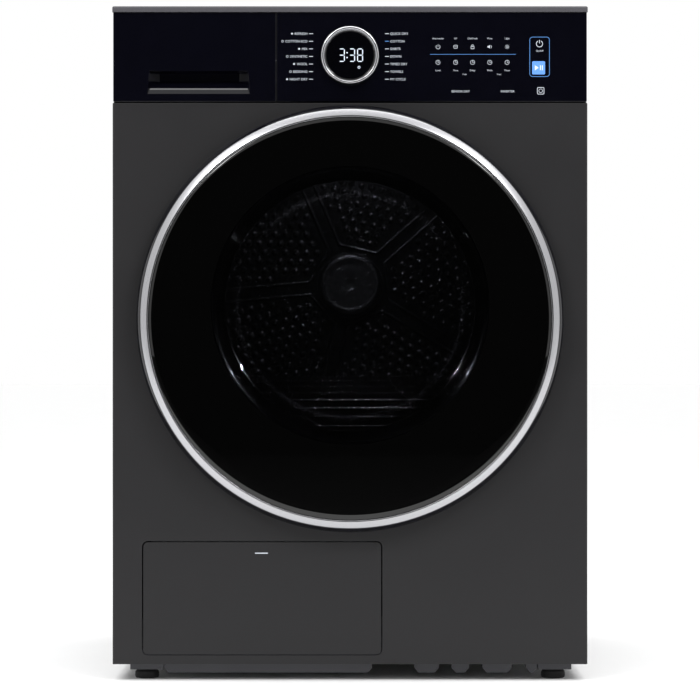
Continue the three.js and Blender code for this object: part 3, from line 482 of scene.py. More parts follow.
# %% See-through finishes
def thin_clear(name, tint, roughness, ior, window=None):
    """A clear finish for thin walls; outside a round window (z, radius in millimetres) it is black."""
    material = bpy.data.materials.new(name)
    material.use_nodes = True
    tree = material.node_tree
    tree.nodes.remove(tree.nodes["Principled BSDF"])
    coords = add(tree, "TexCoord").outputs["Object"]
    smear = add(tree, "TexNoise", {"Scale": 14, "Detail": 3}, {"Vector": coords})
    mirror = add(tree, "BsdfAnisotropic", {"Color": (1, 1, 1, 1)},
                 {"Roughness": ramp(tree, smear.outputs["Fac"], roughness, roughness * 2.5)})
    glass = add(tree, "BsdfTransparent", {"Color": linear(tint)})
    if window:
        centre, radius = window
        distance = distance_from(tree, coords, 0, centre)
        border = add(tree, "Math", {"operation": "GREATER_THAN", 1: radius * MM}, {0: distance})
        black = add(tree, "BsdfDiffuse", {"Color": linear("#020202")})
        glass = add(tree, "MixShader", links={0: border.outputs[0], 1: glass.outputs[0], 2: black.outputs[0]})
    fresnel = add(tree, "Fresnel", {"IOR": ior})
    both = add(tree, "MixShader", links={0: fresnel.outputs[0], 1: glass.outputs[0], 2: mirror.outputs[0]})
    tree.links.new(both.outputs[0], tree.nodes["Material Output"].inputs["Surface"])
    return material


def part_clear(name, colour, roughness, alpha, ior):
    """A cloudy finish that lets part of the light straight through."""
    material, tree, shader, coords = begin(name, colour, roughness, Alpha=alpha, IOR=ior)
    haze = add(tree, "TexNoise", {"Scale": 14, "Detail": 3}, {"Vector": coords})
    tree.links.new(ramp(tree, haze.outputs["Fac"], roughness, roughness * 2.5), shader.inputs["Roughness"])
    return material


WINDOW_R = 173  # radius of the clear window in the pane's printed border
# Polished flat: it mirrors the room and shows the drum only dimly.
door_pane_glass = thin_clear("tinted_door_glass", "#b4b4b8", 0.015, 1.5, (OPENING_Z, WINDOW_R))
# Moulded clear: the eye sees only its reflections and the rounded edge.
clear_bowl = thin_clear("clear_polycarbonate", "#f2f3f4", 0.03, 1.58)
# Nearly opaque, so that the figures seem to float on a black disc.
dial_glass = part_clear("tinted_dial_glass", "#020204", 0.03, 0.97, 1.52)
# Cloudy blue-grey, through which the tank's inside shows as a paler shape.
milky_tank = part_clear("milky_tank_plastic", "#8a9399", 0.22, 0.62, 1.49)
print("clear finishes ready")

# %% [markdown]
# ### Felt, circuit board, filter cloth and printing
# The felt seal is matted wool, all fibre and no gloss. The board is fibreglass under green lacquer with
# copper tracks showing through. The lint filter's walls are cloth woven of half-millimetre threads, drawn
# a little coarser so that the weave shows. The panel's words and key symbols are screen-printed in cool
# white ink with a faint painted glow, and its start key is lit from behind.

# %% Fibre, board, cloth and ink
# Matted wool: warm grey, with no highlight.
felt, tree, shader, coords = begin("grey_felt", "#5d5851", 0.95)
shader.inputs["Sheen Weight"].default_value = 0.4
fibres = add(tree, "TexNoise", {"Scale": 900, "Detail": 6}, {"Vector": coords})
tree.links.new(ramp(tree, fibres.outputs["Fac"], "#4a4640", "#6e6961"), shader.inputs["Base Color"])
bump(tree, shader, fibres.outputs["Fac"], 0.8, 0.4)

# Lacquered fibreglass: a green sheen over fine copper lines.
board, tree, shader, coords = begin("green_circuit_board", "#123a20", 0.35)
tracks = add(tree, "TexBrick", {"Scale": 70, "Mortar Size": 0.08, "Color1": linear("#0f3a1e"),
                                "Color2": linear("#12452a"), "Mortar": linear("#3c7a3a")}, {"Vector": coords})
tree.links.new(tracks.outputs["Color"], shader.inputs["Base Color"])
bump(tree, shader, tracks.outputs["Fac"], 0.3, 0.05)

# Woven thread: a grey that breaks up into a grid close to.
cloth, tree, shader, coords = begin("woven_filter_cloth", "#6c7077", 0.7)
WEAVE_SCALE = 320  # a thread every millimetre, coarse enough to show
weave = [add(tree, "TexWave", {"bands_direction": run, "Scale": WEAVE_SCALE}, {"Vector": coords})
         for run in ("X", "Z")]
crossing = add(tree, "Math", {"operation": "MAXIMUM"}, dict(enumerate(wave.outputs["Fac"] for wave in weave)))
tree.links.new(ramp(tree, crossing.outputs["Value"], "#33363b", "#8b9097"), shader.inputs["Base Color"])
bump(tree, shader, crossing.outputs["Value"], 0.5, 0.2)


def glowing(name, colour, strength):
    """Printing ink given a faint painted glow, or a lamp behind it, with a faint unevenness."""
    material, tree, shader, coords = begin(name, colour, 0.5)
    patch = add(tree, "TexNoise", {"Scale": 1500, "Detail": 2}, {"Vector": coords})
    tree.links.new(ramp(tree, patch.outputs["Fac"], 0.42, 0.58), shader.inputs["Roughness"])
    shader.inputs["Emission Color"].default_value = linear(colour)
    shader.inputs["Emission Strength"].default_value = strength
    return material


# Screen ink with a faint painted glow, and lamps behind the gloss: flat, even marks that stay clear on black.
white_ink_painted_glow = glowing("white_panel_ink_painted_glow", "#a9aeb6", 0.12)
digit_light = glowing("white_display_light", "#bcc4d0", 0.3)
# Blue printed ink with a faint painted glow.
blue_ink_painted_glow = glowing("blue_panel_ink_painted_glow", "#3c6ea6", 0.12)
blue_light = glowing("blue_key_light", "#4b7cc0", 0.4)
print("soft finishes and inks ready")

# %% [markdown]
# ## Room, light and camera
# The machine stands on a plain pale floor in an even white room. Two soft boxes high on the left and
# right give the trim ring its bright shoulders. Gloss black shows whatever stands in front of it, so a
# black card hangs behind the camera and a black runner lies before it on the floor, and only reflections
# see them. Small lamps inside the door opening pick out the drum's back and the steps of its mouth.
# The camera is level and a few metres away, so it sees little perspective.

# %% Floor, room and lights
bpy.ops.object.select_all(action="DESELECT")
bpy.ops.mesh.primitive_circle_add(vertices=96, radius=30, fill_type="NGON", location=(0, 0, 0))
floor = named("studio_floor")
paint, tree, shader, coords = begin("pale_floor_paint", "#fefefe", 0.6)
mottle = add(tree, "TexNoise", {"Scale": 6, "Detail": 4}, {"Vector": coords})
tree.links.new(ramp(tree, mottle.outputs["Fac"], "#fdfdfd", "#ffffff"), shader.inputs["Base Color"])
floor.data.materials.append(paint)

CARD_X, CARD_TOP, CARD_Y = 2600, 2600, -5000
card = block("black_card", [-CARD_X, CARD_X], [CARD_Y - 5, CARD_Y], [0, CARD_TOP])
runner = block("black_runner", [-CARD_X, CARD_X], [CARD_Y, -1500], [1, 2])
card_paint, tree, shader, coords = begin("black_card_paint", "#030303", 1.0)
nap = add(tree, "TexNoise", {"Scale": 300, "Detail": 2}, {"Vector": coords})
tree.links.new(ramp(tree, nap.outputs["Fac"], "#020202", "#050505"), shader.inputs["Base Color"])
for dark in (card, runner):
    dark.data.materials.append(card_paint)
    for ray in ("camera", "diffuse", "shadow", "transmission", "volume_scatter"):
        setattr(dark, "visible_" + ray, False)
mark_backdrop(floor, card, runner)

room = bpy.data.worlds.new("white_room")
room.use_nodes = True
room.node_tree.nodes["Background"].inputs["Color"].default_value = (1, 1, 1, 1)
room.node_tree.nodes["Background"].inputs["Strength"].default_value = 1.0
bpy.context.scene.world = room


def soft_box(name, place, size, power, target=(0, -0.2, 0.45), spread=180):
    """An area light at a place in metres, turned to a target, its beam spread in degrees."""
    aim = (Vector(target) - Vector(place)).to_track_quat("-Z", "Y").to_euler()
    bpy.ops.object.select_all(action="DESELECT")
    bpy.ops.object.light_add(type="AREA", location=place, rotation=aim)
    light = bpy.context.active_object
    light.name = name
    light.data.shape = "RECTANGLE"
    light.data.size, light.data.size_y = size
    light.data.energy = power
    light.data.spread = math.radians(spread)
    light.visible_camera = False


soft_box("soft_box_left", (-1.75, -2.6, 2.7), (1.0, 1.0), 50)
soft_box("soft_box_right", (1.75, -2.6, 2.7), (1.0, 1.0), 50)
soft_box("soft_box_top", (0, -0.6, 3.2), (2.4, 1.2), 35)
soft_box("drum_lamp", (0, 0.02, 0.755), (0.12, 0.02), 0.34, (0, 0.224, 0.42), 90)
soft_box("mouth_lamp_top", (0, -0.248, 0.645), (0.2, 0.006), 0.5, (0, -0.24, 0.33), 45)
for side, name in ((-1, "left"), (1, "right")):
    soft_box("mouth_lamp_" + name, (side * 0.15, -0.248, 0.56), (0.08, 0.006), 0.5,
             (-side * 0.14, -0.24, 0.39), 45)

# %% Camera
VIEW_DISTANCE = 3.516  # metres from the lens to the front sheet
VIEW_HEIGHT = 0.4146
VIEW_WIDTH = 0.8768  # metres across the view at the front sheet
front_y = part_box("front_panel")[0].y
bpy.ops.object.select_all(action="DESELECT")
bpy.ops.object.camera_add(location=(0, front_y - VIEW_DISTANCE, VIEW_HEIGHT), rotation=(math.pi / 2, 0, 0))
camera = bpy.context.active_object
camera.data.sensor_width = 36
camera.data.lens = 36 * VIEW_DISTANCE / VIEW_WIDTH
camera.data.clip_end = 100
bpy.context.scene.camera = camera
bpy.context.scene.view_settings.view_transform = "Standard"
print("camera", round(camera.data.lens), "mm lens")

# %% [markdown]
# ## Cabinet sheets
# Each cabinet panel is one steel sheet bent round at its edges. A block of the outer size loses the faces
# where the real sheet is open, its bent edges are bevelled to a bend radius, and Solidify then gives it
# the sheet's thickness inwards. Holes are cut last, as a punch would.

# %% Front sheet
SHEET = 1.0


def limits(node):
    """A solid's limits along X, Y and Z, in millimetres."""
    low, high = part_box(node)
    return [[a / MM, b / MM] for a, b in zip(low, high)]


def bent_sheet(name, x, y, z, open_sides, bend=2.2):
    """A tray of sheet metal: open_sides are tests for the outward directions that have no wall."""
    piece = block(name, x, y, z)
    pick(piece, "FACE", lambda face: any(face.normal.dot(Vector(side)) > 0.9 for side in open_sides))
    bpy.ops.mesh.delete(type="FACE")
    pick(piece, "EDGE", lambda edge: len(edge.link_faces) == 2)
    bpy.ops.mesh.bevel(offset=bend * MM, segments=4, affect="EDGES")
    return piece


x, y, z = limits("front_panel")
front = bent_sheet("front_sheet", x, y, z, [(0, 1, 0), (0, 0, -1)])
modify(front, "SOLIDIFY", thickness=SHEET * MM, offset=-1)
flap_x, flap_y, flap_z = [-259, 39], [-284, -276], [33.5, 173.8]
SEAM = 1.5
combine(front, "DIFFERENCE",
        rod("opening_punch", 190, [y[0] - 5, y[1] + 5], z=OPENING_Z, sides=192),
        plate("flap_punch", round_corners([flap_x[0] - SEAM, flap_x[1] + SEAM],
                                          [flap_z[0] - SEAM, flap_z[1] + SEAM], 7.5), [y[0] - 5, y[1] + 5]),
        block("strike_punch", [-222, -206], [y[0] - 5, y[1]], [DOOR_Z - 12, DOOR_Z + 12]))
soften(front, 0.35, 2)
settle(front, "cabinet", "graphite_paint", graphite, "front_panel")

# %% Side sheets with a shallow pressed field
FLANGE_CUT = 9.5  # the front fold is this much shorter than the rear one, to clear the water tank
for side, name in ((-1, "left_side"), (1, "right_side")):
    x, y, z = limits(name + "_panel")
    sheet = bent_sheet(name + "_sheet", x, y, z, [(-side, 0, 0), (0, 0, 1), (0, 0, -1)])
    inner = x[0] if side > 0 else x[1]
    pick(sheet, "VERT", lambda vert: abs(vert.co.x / MM - inner) < 0.1 and vert.co.y < 0)
    bpy.ops.transform.translate(value=(side * FLANGE_CUT * MM, 0, 0))
    bpy.ops.object.mode_set(mode="OBJECT")
    broad = max(face.area for face in sheet.data.polygons)
    pick(sheet, "FACE", lambda face: face.calc_area() > broad * 0.9)
    bpy.ops.mesh.inset(thickness=62 * MM)
    bpy.ops.mesh.select_mode(type="VERT")
    bpy.ops.mesh.bevel(offset=34 * MM, segments=8, affect="VERTICES")
    pick(sheet, "FACE", lambda face: abs(face.normal.x) > 0.99 and len(face.verts) > 20)
    bpy.ops.mesh.inset(thickness=7 * MM, depth=-1.6 * MM)
    bpy.ops.object.mode_set(mode="OBJECT")
    modify(sheet, "SOLIDIFY", thickness=SHEET * MM, offset=-1)
    soften(sheet, 0.6, 3, 8)
    settle(sheet, "cabinet", "graphite_paint", graphite, name + "_panel")

# %% [markdown]
# ## Rear sheet, duct cover and inlet
# The rear is plain galvanised sheet with punched vents, held by screws. A moulded cover with pressed ribs
# carries the air round the drum's bearing. The mains inlet is a flanged gland with an open bore.

# %% Rear sheet
x, y, z = limits("rear_panel")
rear = block("rear_sheet", x, y, z)
VENT_STEP, VENT_HEIGHT = 16, 7
through = [y[0] - 3, y[1] + 3]
vents = []
for i in range(6):
    for field, lowest in (([-265, -195], 710), ([195, 265], 60)):
        low = lowest + VENT_STEP * i
        vents.append(plate(f"vent_{i}", round_corners(field, [low, low + VENT_HEIGHT], 3.4), through))
combine(rear, "DIFFERENCE", joined("vent_punch", vents), rod("bearing_punch", 30, through, z=DRUM_Z))
soften(rear, 0.3, 2)
settle(rear, "cabinet", "galvanised_sheet", zinc, "rear_panel")

# %% Duct cover
x, y, z = limits("rear_duct_cover")
cover = plate("duct_cover", round_corners(x, z, 40, 10), y)
pick(cover, "FACE", lambda face: face.normal.y > 0.9)
bpy.ops.mesh.inset(thickness=16 * MM)
bpy.ops.mesh.inset(thickness=5 * MM, depth=-4 * MM)
bpy.ops.object.mode_set(mode="OBJECT")
ribs = [plate(f"cover_rib_{i}", round_corners([-110 + 50 * i, -90 + 50 * i], [z[0] + 70, z[1] - 70], 9),
              [y[1] - 6, y[1] - 0.5]) for i in range(5)]
combine(cover, "UNION", *ribs)
soften(cover, 1.6, 3)
settle(cover, "cabinet", "black_pp", black_moulding, "rear_duct_cover")

# %% Inlet gland
x, y, z = limits("power_inlet")
mid_x, mid_z = sum(x) / 2, sum(z) / 2
gland = plate("inlet_gland", round_corners(x, z, 4), [y[0], y[0] + 3.6])
neck_profile = [(5, y[0]), (11, y[0]), (11, y[1], 2), (8.5, y[1], 1), (5, y[1] - 2)]
combine(gland, "UNION", turned("gland_neck", neck_profile, mid_x, mid_z, 48),
        rod("gland_nut", 13.5, [y[0] + 3, y[0] + 8], mid_x, mid_z, 6))
combine(gland, "DIFFERENCE", rod("gland_bore", 5, [y[0] - 3, y[1] + 3], mid_x, mid_z, 48))
soften(gland, 0.5, 2)
settle(gland, "cabinet", "black_pp", black_moulding, "power_inlet")

# %% Screws of the rear
def screw_head(radius=4.2, height=2.2):
    """A round screw head facing +Y at the origin, with a cross recess."""
    head = turned("screw_head", [(0, 0), (radius, 0), (radius, height * 0.5, 0.8),
                                 (radius * 0.7, height, 1.5), (0, height)], steps=20)
    for tilt in (0, 90):
        half = radius * 0.62
        slot = block("screw_slot", [-half, half], [height * 0.35, height + 1], [-0.45, 0.45])
        slot.data.transform(Matrix.Rotation(math.radians(tilt), 4, "Y"))
        combine(head, "DIFFERENCE", slot)
    return head


REAR_FACE = 300
head = screw_head()
spots = [(side * 286, height) for side in (-1, 1) for height in (60, 210, 400, 590, 790)]
spots += [(side * 180, height) for side in (-1, 1) for height in (110, 300, 480, 660)]
spots += [(-100, 815), (100, 815)]
heads = [copied(head, shift(a, REAR_FACE, b)) for a, b in spots]
bpy.data.objects.remove(head)
settle(joined("rear_screws", heads), "cabinet", "steel_parts", dark_steel)

# %% [markdown]
# ## Worktop
# A thin slab with a bevelled front edge that catches the light. A fine groove runs round its upper face,
# where the laminate meets the frame that holds it.

# %% Worktop
top = block("worktop_slab", *limits("worktop"))
pick(top, "FACE", lambda face: face.normal.z > 0.9)
bpy.ops.mesh.inset(thickness=7 * MM)
bpy.ops.mesh.inset(thickness=0.8 * MM, depth=-0.5 * MM)
bpy.ops.mesh.inset(thickness=0.8 * MM, depth=0.5 * MM)
bpy.ops.object.mode_set(mode="OBJECT")
pick(top, "EDGE", lambda edge: edge.calc_length() > 0.5 and all(v.co.z > 0.8449 for v in edge.verts)
     and any(abs(abs(v.co.x) - 0.2975) < 1e-4 for v in edge.verts))
bpy.ops.mesh.bevel(offset=2.2 * MM, segments=4, affect="EDGES")
bpy.ops.object.mode_set(mode="OBJECT")
soften(top, 0.25, 2, 25)
settle(top, "cabinet", "worktop_laminate", laminate, "worktop")

# %% [markdown]
# ## Control fascia and drawer face
# Both are glossy shells behind the worktop's edge. The fascia has a round hole for the dial. The drawer
# face has a finger grip: a scoop whose floor climbs and narrows towards the back, and a pocket above it
# for the fingertips.

# %% Control fascia
x, y, z = limits("control_panel")
fascia = bent_sheet("control_fascia", x, y, z, [(0, 1, 0)], 0.6)
modify(fascia, "SOLIDIFY", thickness=3 * MM, offset=-1)
combine(fascia, "DIFFERENCE", rod("dial_punch", 36.7, [y[0] - 5, y[0] + 5], z=DIAL_Z, sides=96))
soften(fascia, 0.3, 2)
settle(fascia, "cabinet", "gloss_black_abs", gloss_black, "control_panel")

# %% Drawer face
x, y, z = limits("tank_front")
GRIP_X, GRIP_Z, GRIP_TOP, GRIP_BACK = [-253.7, -125.3], [733.6, 764], 786, -265
GRIP_TAPER = 0.22  # how much narrower the scoop is at its back
drawer = bent_sheet("drawer_face", x, [y[0], GRIP_BACK - 1.4], z, [(0, 1, 0)], 0.6)
modify(drawer, "SOLIDIFY", thickness=3 * MM, offset=-1)
combine(drawer, "UNION", block("grip_housing", [GRIP_X[0] - 3, GRIP_X[1] + 3], [y[0] + 1, y[1]],
                               [GRIP_Z[0] - 2, GRIP_TOP + 3]))
scoop_floor = [(y[0], GRIP_Z[0]), (y[0] + 3, GRIP_Z[0] + 6.5), (y[0] + 7, GRIP_Z[0] + 12),
               (y[0] + 12, GRIP_Z[0] + 15.8), (GRIP_BACK, GRIP_Z[0] + 19)]
scoop_section = [(y[0] - 4, GRIP_Z[0]), *scoop_floor, (GRIP_BACK, GRIP_Z[1]), (y[0] - 4, GRIP_Z[1])]
scoop = beam("grip_scoop", scoop_section, GRIP_X)
for depth, height in scoop_floor[1:]:
    pick(scoop, "VERT", lambda vert: abs(vert.co.y / MM - depth) < 0.1)
    taper = 1 - GRIP_TAPER * (depth - y[0]) / (GRIP_BACK - y[0])
    bpy.ops.transform.resize(value=(taper, 1, 1), center_override=(sum(GRIP_X) / 2 * MM, 0, 0))
    bpy.ops.object.mode_set(mode="OBJECT")
pocket = block("grip_pocket", [GRIP_X[0] + 14, GRIP_X[1] - 14], [y[0] + 4, GRIP_BACK],
               [GRIP_Z[1] - 10, GRIP_TOP])
combine(drawer, "DIFFERENCE", scoop, pocket)
soften(drawer, 0.5, 3)
settle(drawer, "tank_drawer", "gloss_black_abs", gloss_black, "tank_front")

# %% [markdown]
# ## Dial and display
# The dial is a plated ring with a conical inner face that gathers light and dark round it. The display
# sits still in its middle behind a dark lens, so its figures are drawn on the lens, each of seven small
# bars.

# %% Dial ring and lens
x, y, z = limits("program_dial")
dial = turned("dial_ring", [(30.7, y[0] + 3.2, 0.3), (33.0, y[0], 0.6), (35.0, y[0], 0.8),
                            (36.3, y[0] + 1.6, 0.8), (36.3, y[1]), (30.7, y[1])], z=DIAL_Z, steps=128)
settle(dial, "dial", "satin_silver_trim", dial_silver, "program_dial")
x, y, z = limits("display_lens")
LENS_FRONT = y[0]
lens = turned("display_window", [(0, y[0]), (30.2, y[0], 0.8), (30.2, y[1]), (27.2, y[1]), (27.2, y[0] + 3),
                                 (0, y[0] + 3)], z=DIAL_Z, steps=128)
settle(lens, "cabinet", "dial_lens_black", dial_glass, "display_lens")

# %% Figures on the lens
INK = 0.12  # how far printing and lit figures stand off their surface
LIT_Y = [LENS_FRONT - INK, LENS_FRONT + 0.05]
FIGURE_H, FIGURE_W, STROKE = 15.5, 6.3, 1.15
BARS = {"top": (0, 1, 0), "middle": (0, 0.5, 0), "bottom": (0, 0, 0),
        "upper_right": (0.5, 0.75, 90), "lower_right": (0.5, 0.25, 90),
        "upper_left": (-0.5, 0.75, 90), "lower_left": (-0.5, 0.25, 90)}
SHAPES = {"3": ["top", "middle", "bottom", "upper_right", "lower_right"], "8": list(BARS)}


def bar(length):
    """One lit bar with pointed ends, lying along X at the origin."""
    half, tip = length / 2, STROKE / 2
    return plate("bar", [(-half, 0), (-half + tip, -tip), (half - tip, -tip), (half, 0), (half - tip, tip),
                         (-half + tip, tip)], LIT_Y)


figures = []
for figure, centre in (("3", -10.2), ("3", 2.6), ("8", 12.6)):
    for key in SHAPES[figure]:
        across, up, tilt = BARS[key]
        length = (FIGURE_H / 2 if tilt else FIGURE_W) - 1.0
        stroke = bar(length)
        stroke.data.transform(shift(centre + across * FIGURE_W, 0, DIAL_Z - FIGURE_H / 2 + up * FIGURE_H)
                              @ Matrix.Rotation(math.radians(tilt), 4, "Y"))
        figures.append(stroke)
for height in (-3, 3):
    figures.append(rod("colon_dot", 0.9, LIT_Y, -3.6, DIAL_Z + height, 12))
figures.append(turned("lock_mark", [(1.0, LIT_Y[0]), (1.7, LIT_Y[0]), (1.7, LIT_Y[1]), (1.0, LIT_Y[1])],
                      11.3, 767.8, 16))
settle(joined("display_figures", figures), "cabinet", "dial_lens_black", digit_light)

# %% [markdown]
# ## Printing on the fascia
# The programme names, the key symbols and the frame round the power key are screen-printed in white ink,
# which is given a faint painted glow as if lit through the gloss. Each word is a text object turned to face
# the front and converted to a mesh, so its letters are real shapes a tenth of a millimetre high. The symbols
# are small plates and rings.

# %% Words and symbols
PRINT_Y = [-286 - INK, -286 + 0.05]
CAP_TO_SIZE = 1.45  # the font's size over the height of its capitals


def words(text, x, z, height, align="LEFT"):
    """A line of text on the fascia, its capitals of the given height centred at z."""
    bpy.ops.object.select_all(action="DESELECT")
    bpy.ops.object.text_add(location=(x * MM, -286 * MM, (z - height / 2) * MM), rotation=(math.pi / 2, 0, 0))
    line = bpy.context.active_object
    line.data.body = text
    line.data.size = height * CAP_TO_SIZE * MM
    line.data.align_x = align
    line.data.extrude = INK * MM
    line.data.resolution_u = 3
    only(line)
    bpy.ops.object.convert(target="MESH")
    return faces_out(named(text))


def dash(x, z, width, height=0.8):
    return block("dash", [x - width / 2, x + width / 2], PRINT_Y, [z - height / 2, z + height / 2])


def ring(x, z, radius, stroke=0.5, gap=0):
    """A printed ring, open at its top by a gap in degrees."""
    piece = turned("ring", [(radius - stroke, PRINT_Y[0]), (radius, PRINT_Y[0]), (radius, PRINT_Y[1]),
                            (radius - stroke, PRINT_Y[1])], x, z, 32)
    if gap:
        half = radius * math.sin(math.radians(gap / 2))
        combine(piece, "DIFFERENCE", block("gap", [x - half, x + half], [-290, -280], [z, z + radius * 1.2]))
    return piece


def frame_line(x, z, radius, stroke):
    """A printed rectangle outline with round corners."""
    outer = plate("frame_line", round_corners(x, z, radius, 6), PRINT_Y)
    inner = plate("frame_gap", round_corners([x[0] + stroke, x[1] - stroke], [z[0] + stroke, z[1] - stroke],
                                             radius - stroke, 6), [-290, -280])
    return combine(outer, "DIFFERENCE", inner)


def spokes(x, z, inner, outer, count, width=0.5):
    """Short lines round a point, as on a sun or a clock."""
    made = []
    for i in range(count):
        spoke = block("spoke", [x - width / 2, x + width / 2], PRINT_Y, [z + inner, z + outer])
        spoke.data.transform(turn_about(360 * i / count, "Y", x, 0, z))
        made.append(spoke)
    return made


# %% Programme lists
LIST_CAP = 2.9
LEFT_LIST = ["REFRESH", "COTTON ECO", "MIX", "SYNTHETIC", "WOOL", "BEDDING", "NIGHT DRY"]
RIGHT_LIST = ["QUICK DRY", "COTTON", "SHIRTS", "DOWN", "TIMED DRY", "TOWELS", "MY CYCLE"]
ROW_TOP, ROW_STEP = 810.6, 9.5
print_work = []
for i, (left, right) in enumerate(zip(LEFT_LIST, RIGHT_LIST)):
    height = ROW_TOP - ROW_STEP * i
    line = words(left, -53.2, height, LIST_CAP, "RIGHT")
    print_work += [line, dash(-48.8, height, 5), words(right, 50.2, height, LIST_CAP)]
    left_end = min(v.co.x for v in line.data.vertices) / MM
    if i % 2:
        print_work.append(ring(left_end - 3.4, height, 1.5, 0.45))
    else:
        print_work.append(plate("leaf", [(left_end - 5, height), (left_end - 3.4, height - 1.5),
                                         (left_end - 1.9, height), (left_end - 3.4, height + 1.5)], PRINT_Y))
    if i != 1:
        print_work.append(dash(46.3, height, 5))

# %% Function keys
KEY_CAP = 2.1
KEY_X = [110.2, 132.2, 153.4, 175, 196.7]
for centre, upper, lower in zip(KEY_X, ["Anti-crease", "UV", "Child lock", "Mute", "Light"],
                                ["Level", "Time", "Delay", "Finish", "Timer"]):
    print_work.append(words(upper, centre, 804.7, KEY_CAP, "CENTER"))
    print_work.append(words(lower, centre, 764.7, KEY_CAP, "CENTER"))
    print_work.append(ring(centre, 774.7, 2.9, 0.5))
    print_work += [dash(centre, 775.7, 0.5, 2.4), dash(centre + 0.8, 774.6, 2, 0.5)]
print_work += [ring(KEY_X[0], 794.1, 2.8, 0.5, 70), dash(KEY_X[0], 795.6, 0.5, 3.4)]
print_work += [frame_line([KEY_X[1] - 2.6, KEY_X[1] + 2.6], [792, 796.4], 1.2, 0.5),
               dash(KEY_X[1], 794.2, 3, 0.5)]
print_work += [frame_line([KEY_X[2] - 2.2, KEY_X[2] + 2.2], [791.4, 795.2], 0.8, 0.6),
               ring(KEY_X[2], 795.6, 1.5, 0.45)]
print_work += [plate("speaker", [(KEY_X[3] - 2.8, 793.2), (KEY_X[3] - 1.4, 793.2), (KEY_X[3] + 0.4, 791.8),
                                 (KEY_X[3] + 0.4, 796.6), (KEY_X[3] - 1.4, 795.2), (KEY_X[3] - 2.8, 795.2)],
                     PRINT_Y), dash(KEY_X[3] + 2.1, 794.2, 0.5, 3.4)]
print_work += [ring(KEY_X[4], 794.1, 1.5, 0.5), *spokes(KEY_X[4], 794.1, 2.0, 3.0, 8, 0.4)]
print_work += [words("3 sec", 143.5, 759.9, 1.9, "CENTER"), words("3 sec", 186.5, 759.9, 1.9, "CENTER"),
               words("SENSOR DRY", 138.4, 738.4, 2.7, "CENTER"),
               words("INVERTER", 197.3, 738.4, 2.7, "CENTER"),
               words("On/Off", 237.3, 789.1, 2.2, "CENTER"),
               frame_line([234.2, 243.2], [734.6, 743.6], 1.6, 0.7), ring(238.7, 739.1, 2.6, 0.6),
               ring(237.2, 797.9, 4.3, 0.8, 50), dash(237.2, 800.6, 0.8, 4.4)]
# The printing's white ink carries a faint painted glow.
settle(joined("panel_printing", print_work), "cabinet", "gloss_black_abs", white_ink_painted_glow)

# %% Blue lines and the lit start key
# The blue lines are printed ink with a faint painted glow; the start key is lit from behind.
blue_work = [frame_line([224.7, 250], [756.6, 806.7], 4, 0.7), dash(154, 784.7, 107.7, 0.5),
             dash(46.3, ROW_TOP - ROW_STEP, 5)]
settle(joined("panel_lines", blue_work), "cabinet", "gloss_black_abs", blue_ink_painted_glow)
key = plate("start_key_light", round_corners([228, 244.2], [759.6, 776.1], 1.4), PRINT_Y)
settle(key, "cabinet", "gloss_black_abs", blue_light)
SIGN_Y = [PRINT_Y[0] - 0.05, PRINT_Y[1]]
signs = [plate("play_sign", [(231.4, 764.6), (236.2, 767.9), (231.4, 771.2)], SIGN_Y)]
signs += [block("pause_sign", [a, a + 1.1], SIGN_Y, [764.8, 771]) for a in (237.8, 240.2)]
settle(joined("start_key_sign", signs), "cabinet", "gloss_black_abs", digit_light)

# %% [markdown]
# ## Access flap and feet
# The flap is a painted tray on two pins, flush with the front sheet and set in an even seam. A small
# printed bar near its top shows where to press. The feet are rubber pads on threaded studs.

# %% Access flap
flap = plate("access_door", round_corners(flap_x, flap_z, 6), flap_y)
pick(flap, "FACE", lambda face: face.normal.y > 0.9)
bpy.ops.mesh.inset(thickness=3 * MM)
bpy.ops.mesh.inset(thickness=0.5 * MM, depth=-5 * MM)
bpy.ops.object.mode_set(mode="OBJECT")
combine(flap, "UNION",
        block("flap_foot", [flap_x[0] + 2, flap_x[1] - 2], [flap_y[0] + 1, flap_y[1]], [35, 45.5]),
        pin("pin_left", 2, [-262, -254], -279, 41), pin("pin_right", 2, [34, 42], -279, 41))
soften(flap, 0.5, 3)
settle(flap, "flap", "graphite_paint", graphite, "access_flap")
# The printed bar's white ink carries a faint painted glow.
mark = block("press_mark", [-119, -103], [-284 - INK, -283.9], [159.4, 160.8])
settle(mark, "flap", "graphite_paint", white_ink_painted_glow)

# %% Feet
FOOT_X, FOOT_Y = 257, {"front": -243, "rear": 262}
FEET = {"foot_front_left": "foot_fl", "foot_front_right": "foot_fr", "foot_rear_left": "foot_rl",
        "foot_rear_right": "foot_rr"}
pad = turned("foot_model", [(0, 0), (14, 0, 1), (15, 1.5, 1), (15, 8, 1), (12, 11, 1), (4, 11),
                            (4, 46, 0.8), (0, 46)], steps=40, upright=(0, 0))
grip_rings = [turned(f"grip_ring_{i}", [(14.6, 2.6 + 2 * i), (15.4, 3 + 2 * i, 0.3), (15.4, 3.6 + 2 * i, 0.3),
                                        (14.6, 4 + 2 * i)], steps=40, upright=(0, 0)) for i in range(2)]
threads = [turned(f"thread_{i}", [(3.6, 13 + 1.4 * i), (4.35, 13.5 + 1.4 * i), (3.6, 14 + 1.4 * i)], steps=24,
                  upright=(0, 0)) for i in range(22)]
model = joined("foot_model", [pad, *grip_rings, *threads])
for node, body in FEET.items():
    side = -1 if node.endswith("left") else 1
    twin = copied(model, shift(side * FOOT_X, FOOT_Y[node.split("_")[1]]))
    twin.name = node + "_pad"
    settle(twin, body, "black_rubber", rubber, node)
bpy.data.objects.remove(model)

# %% [markdown]
# ## Door
# The door is a gloss rim, a plated ring set into it and a dark pane that bulges a little. Behind them are
# a plain black frame, the clear bowl that holds the laundry back, the seal and the hinge. All round parts
# are one profile spun about the door's axis, each with its own fillets, since the edge fillets are what
# catch the light.

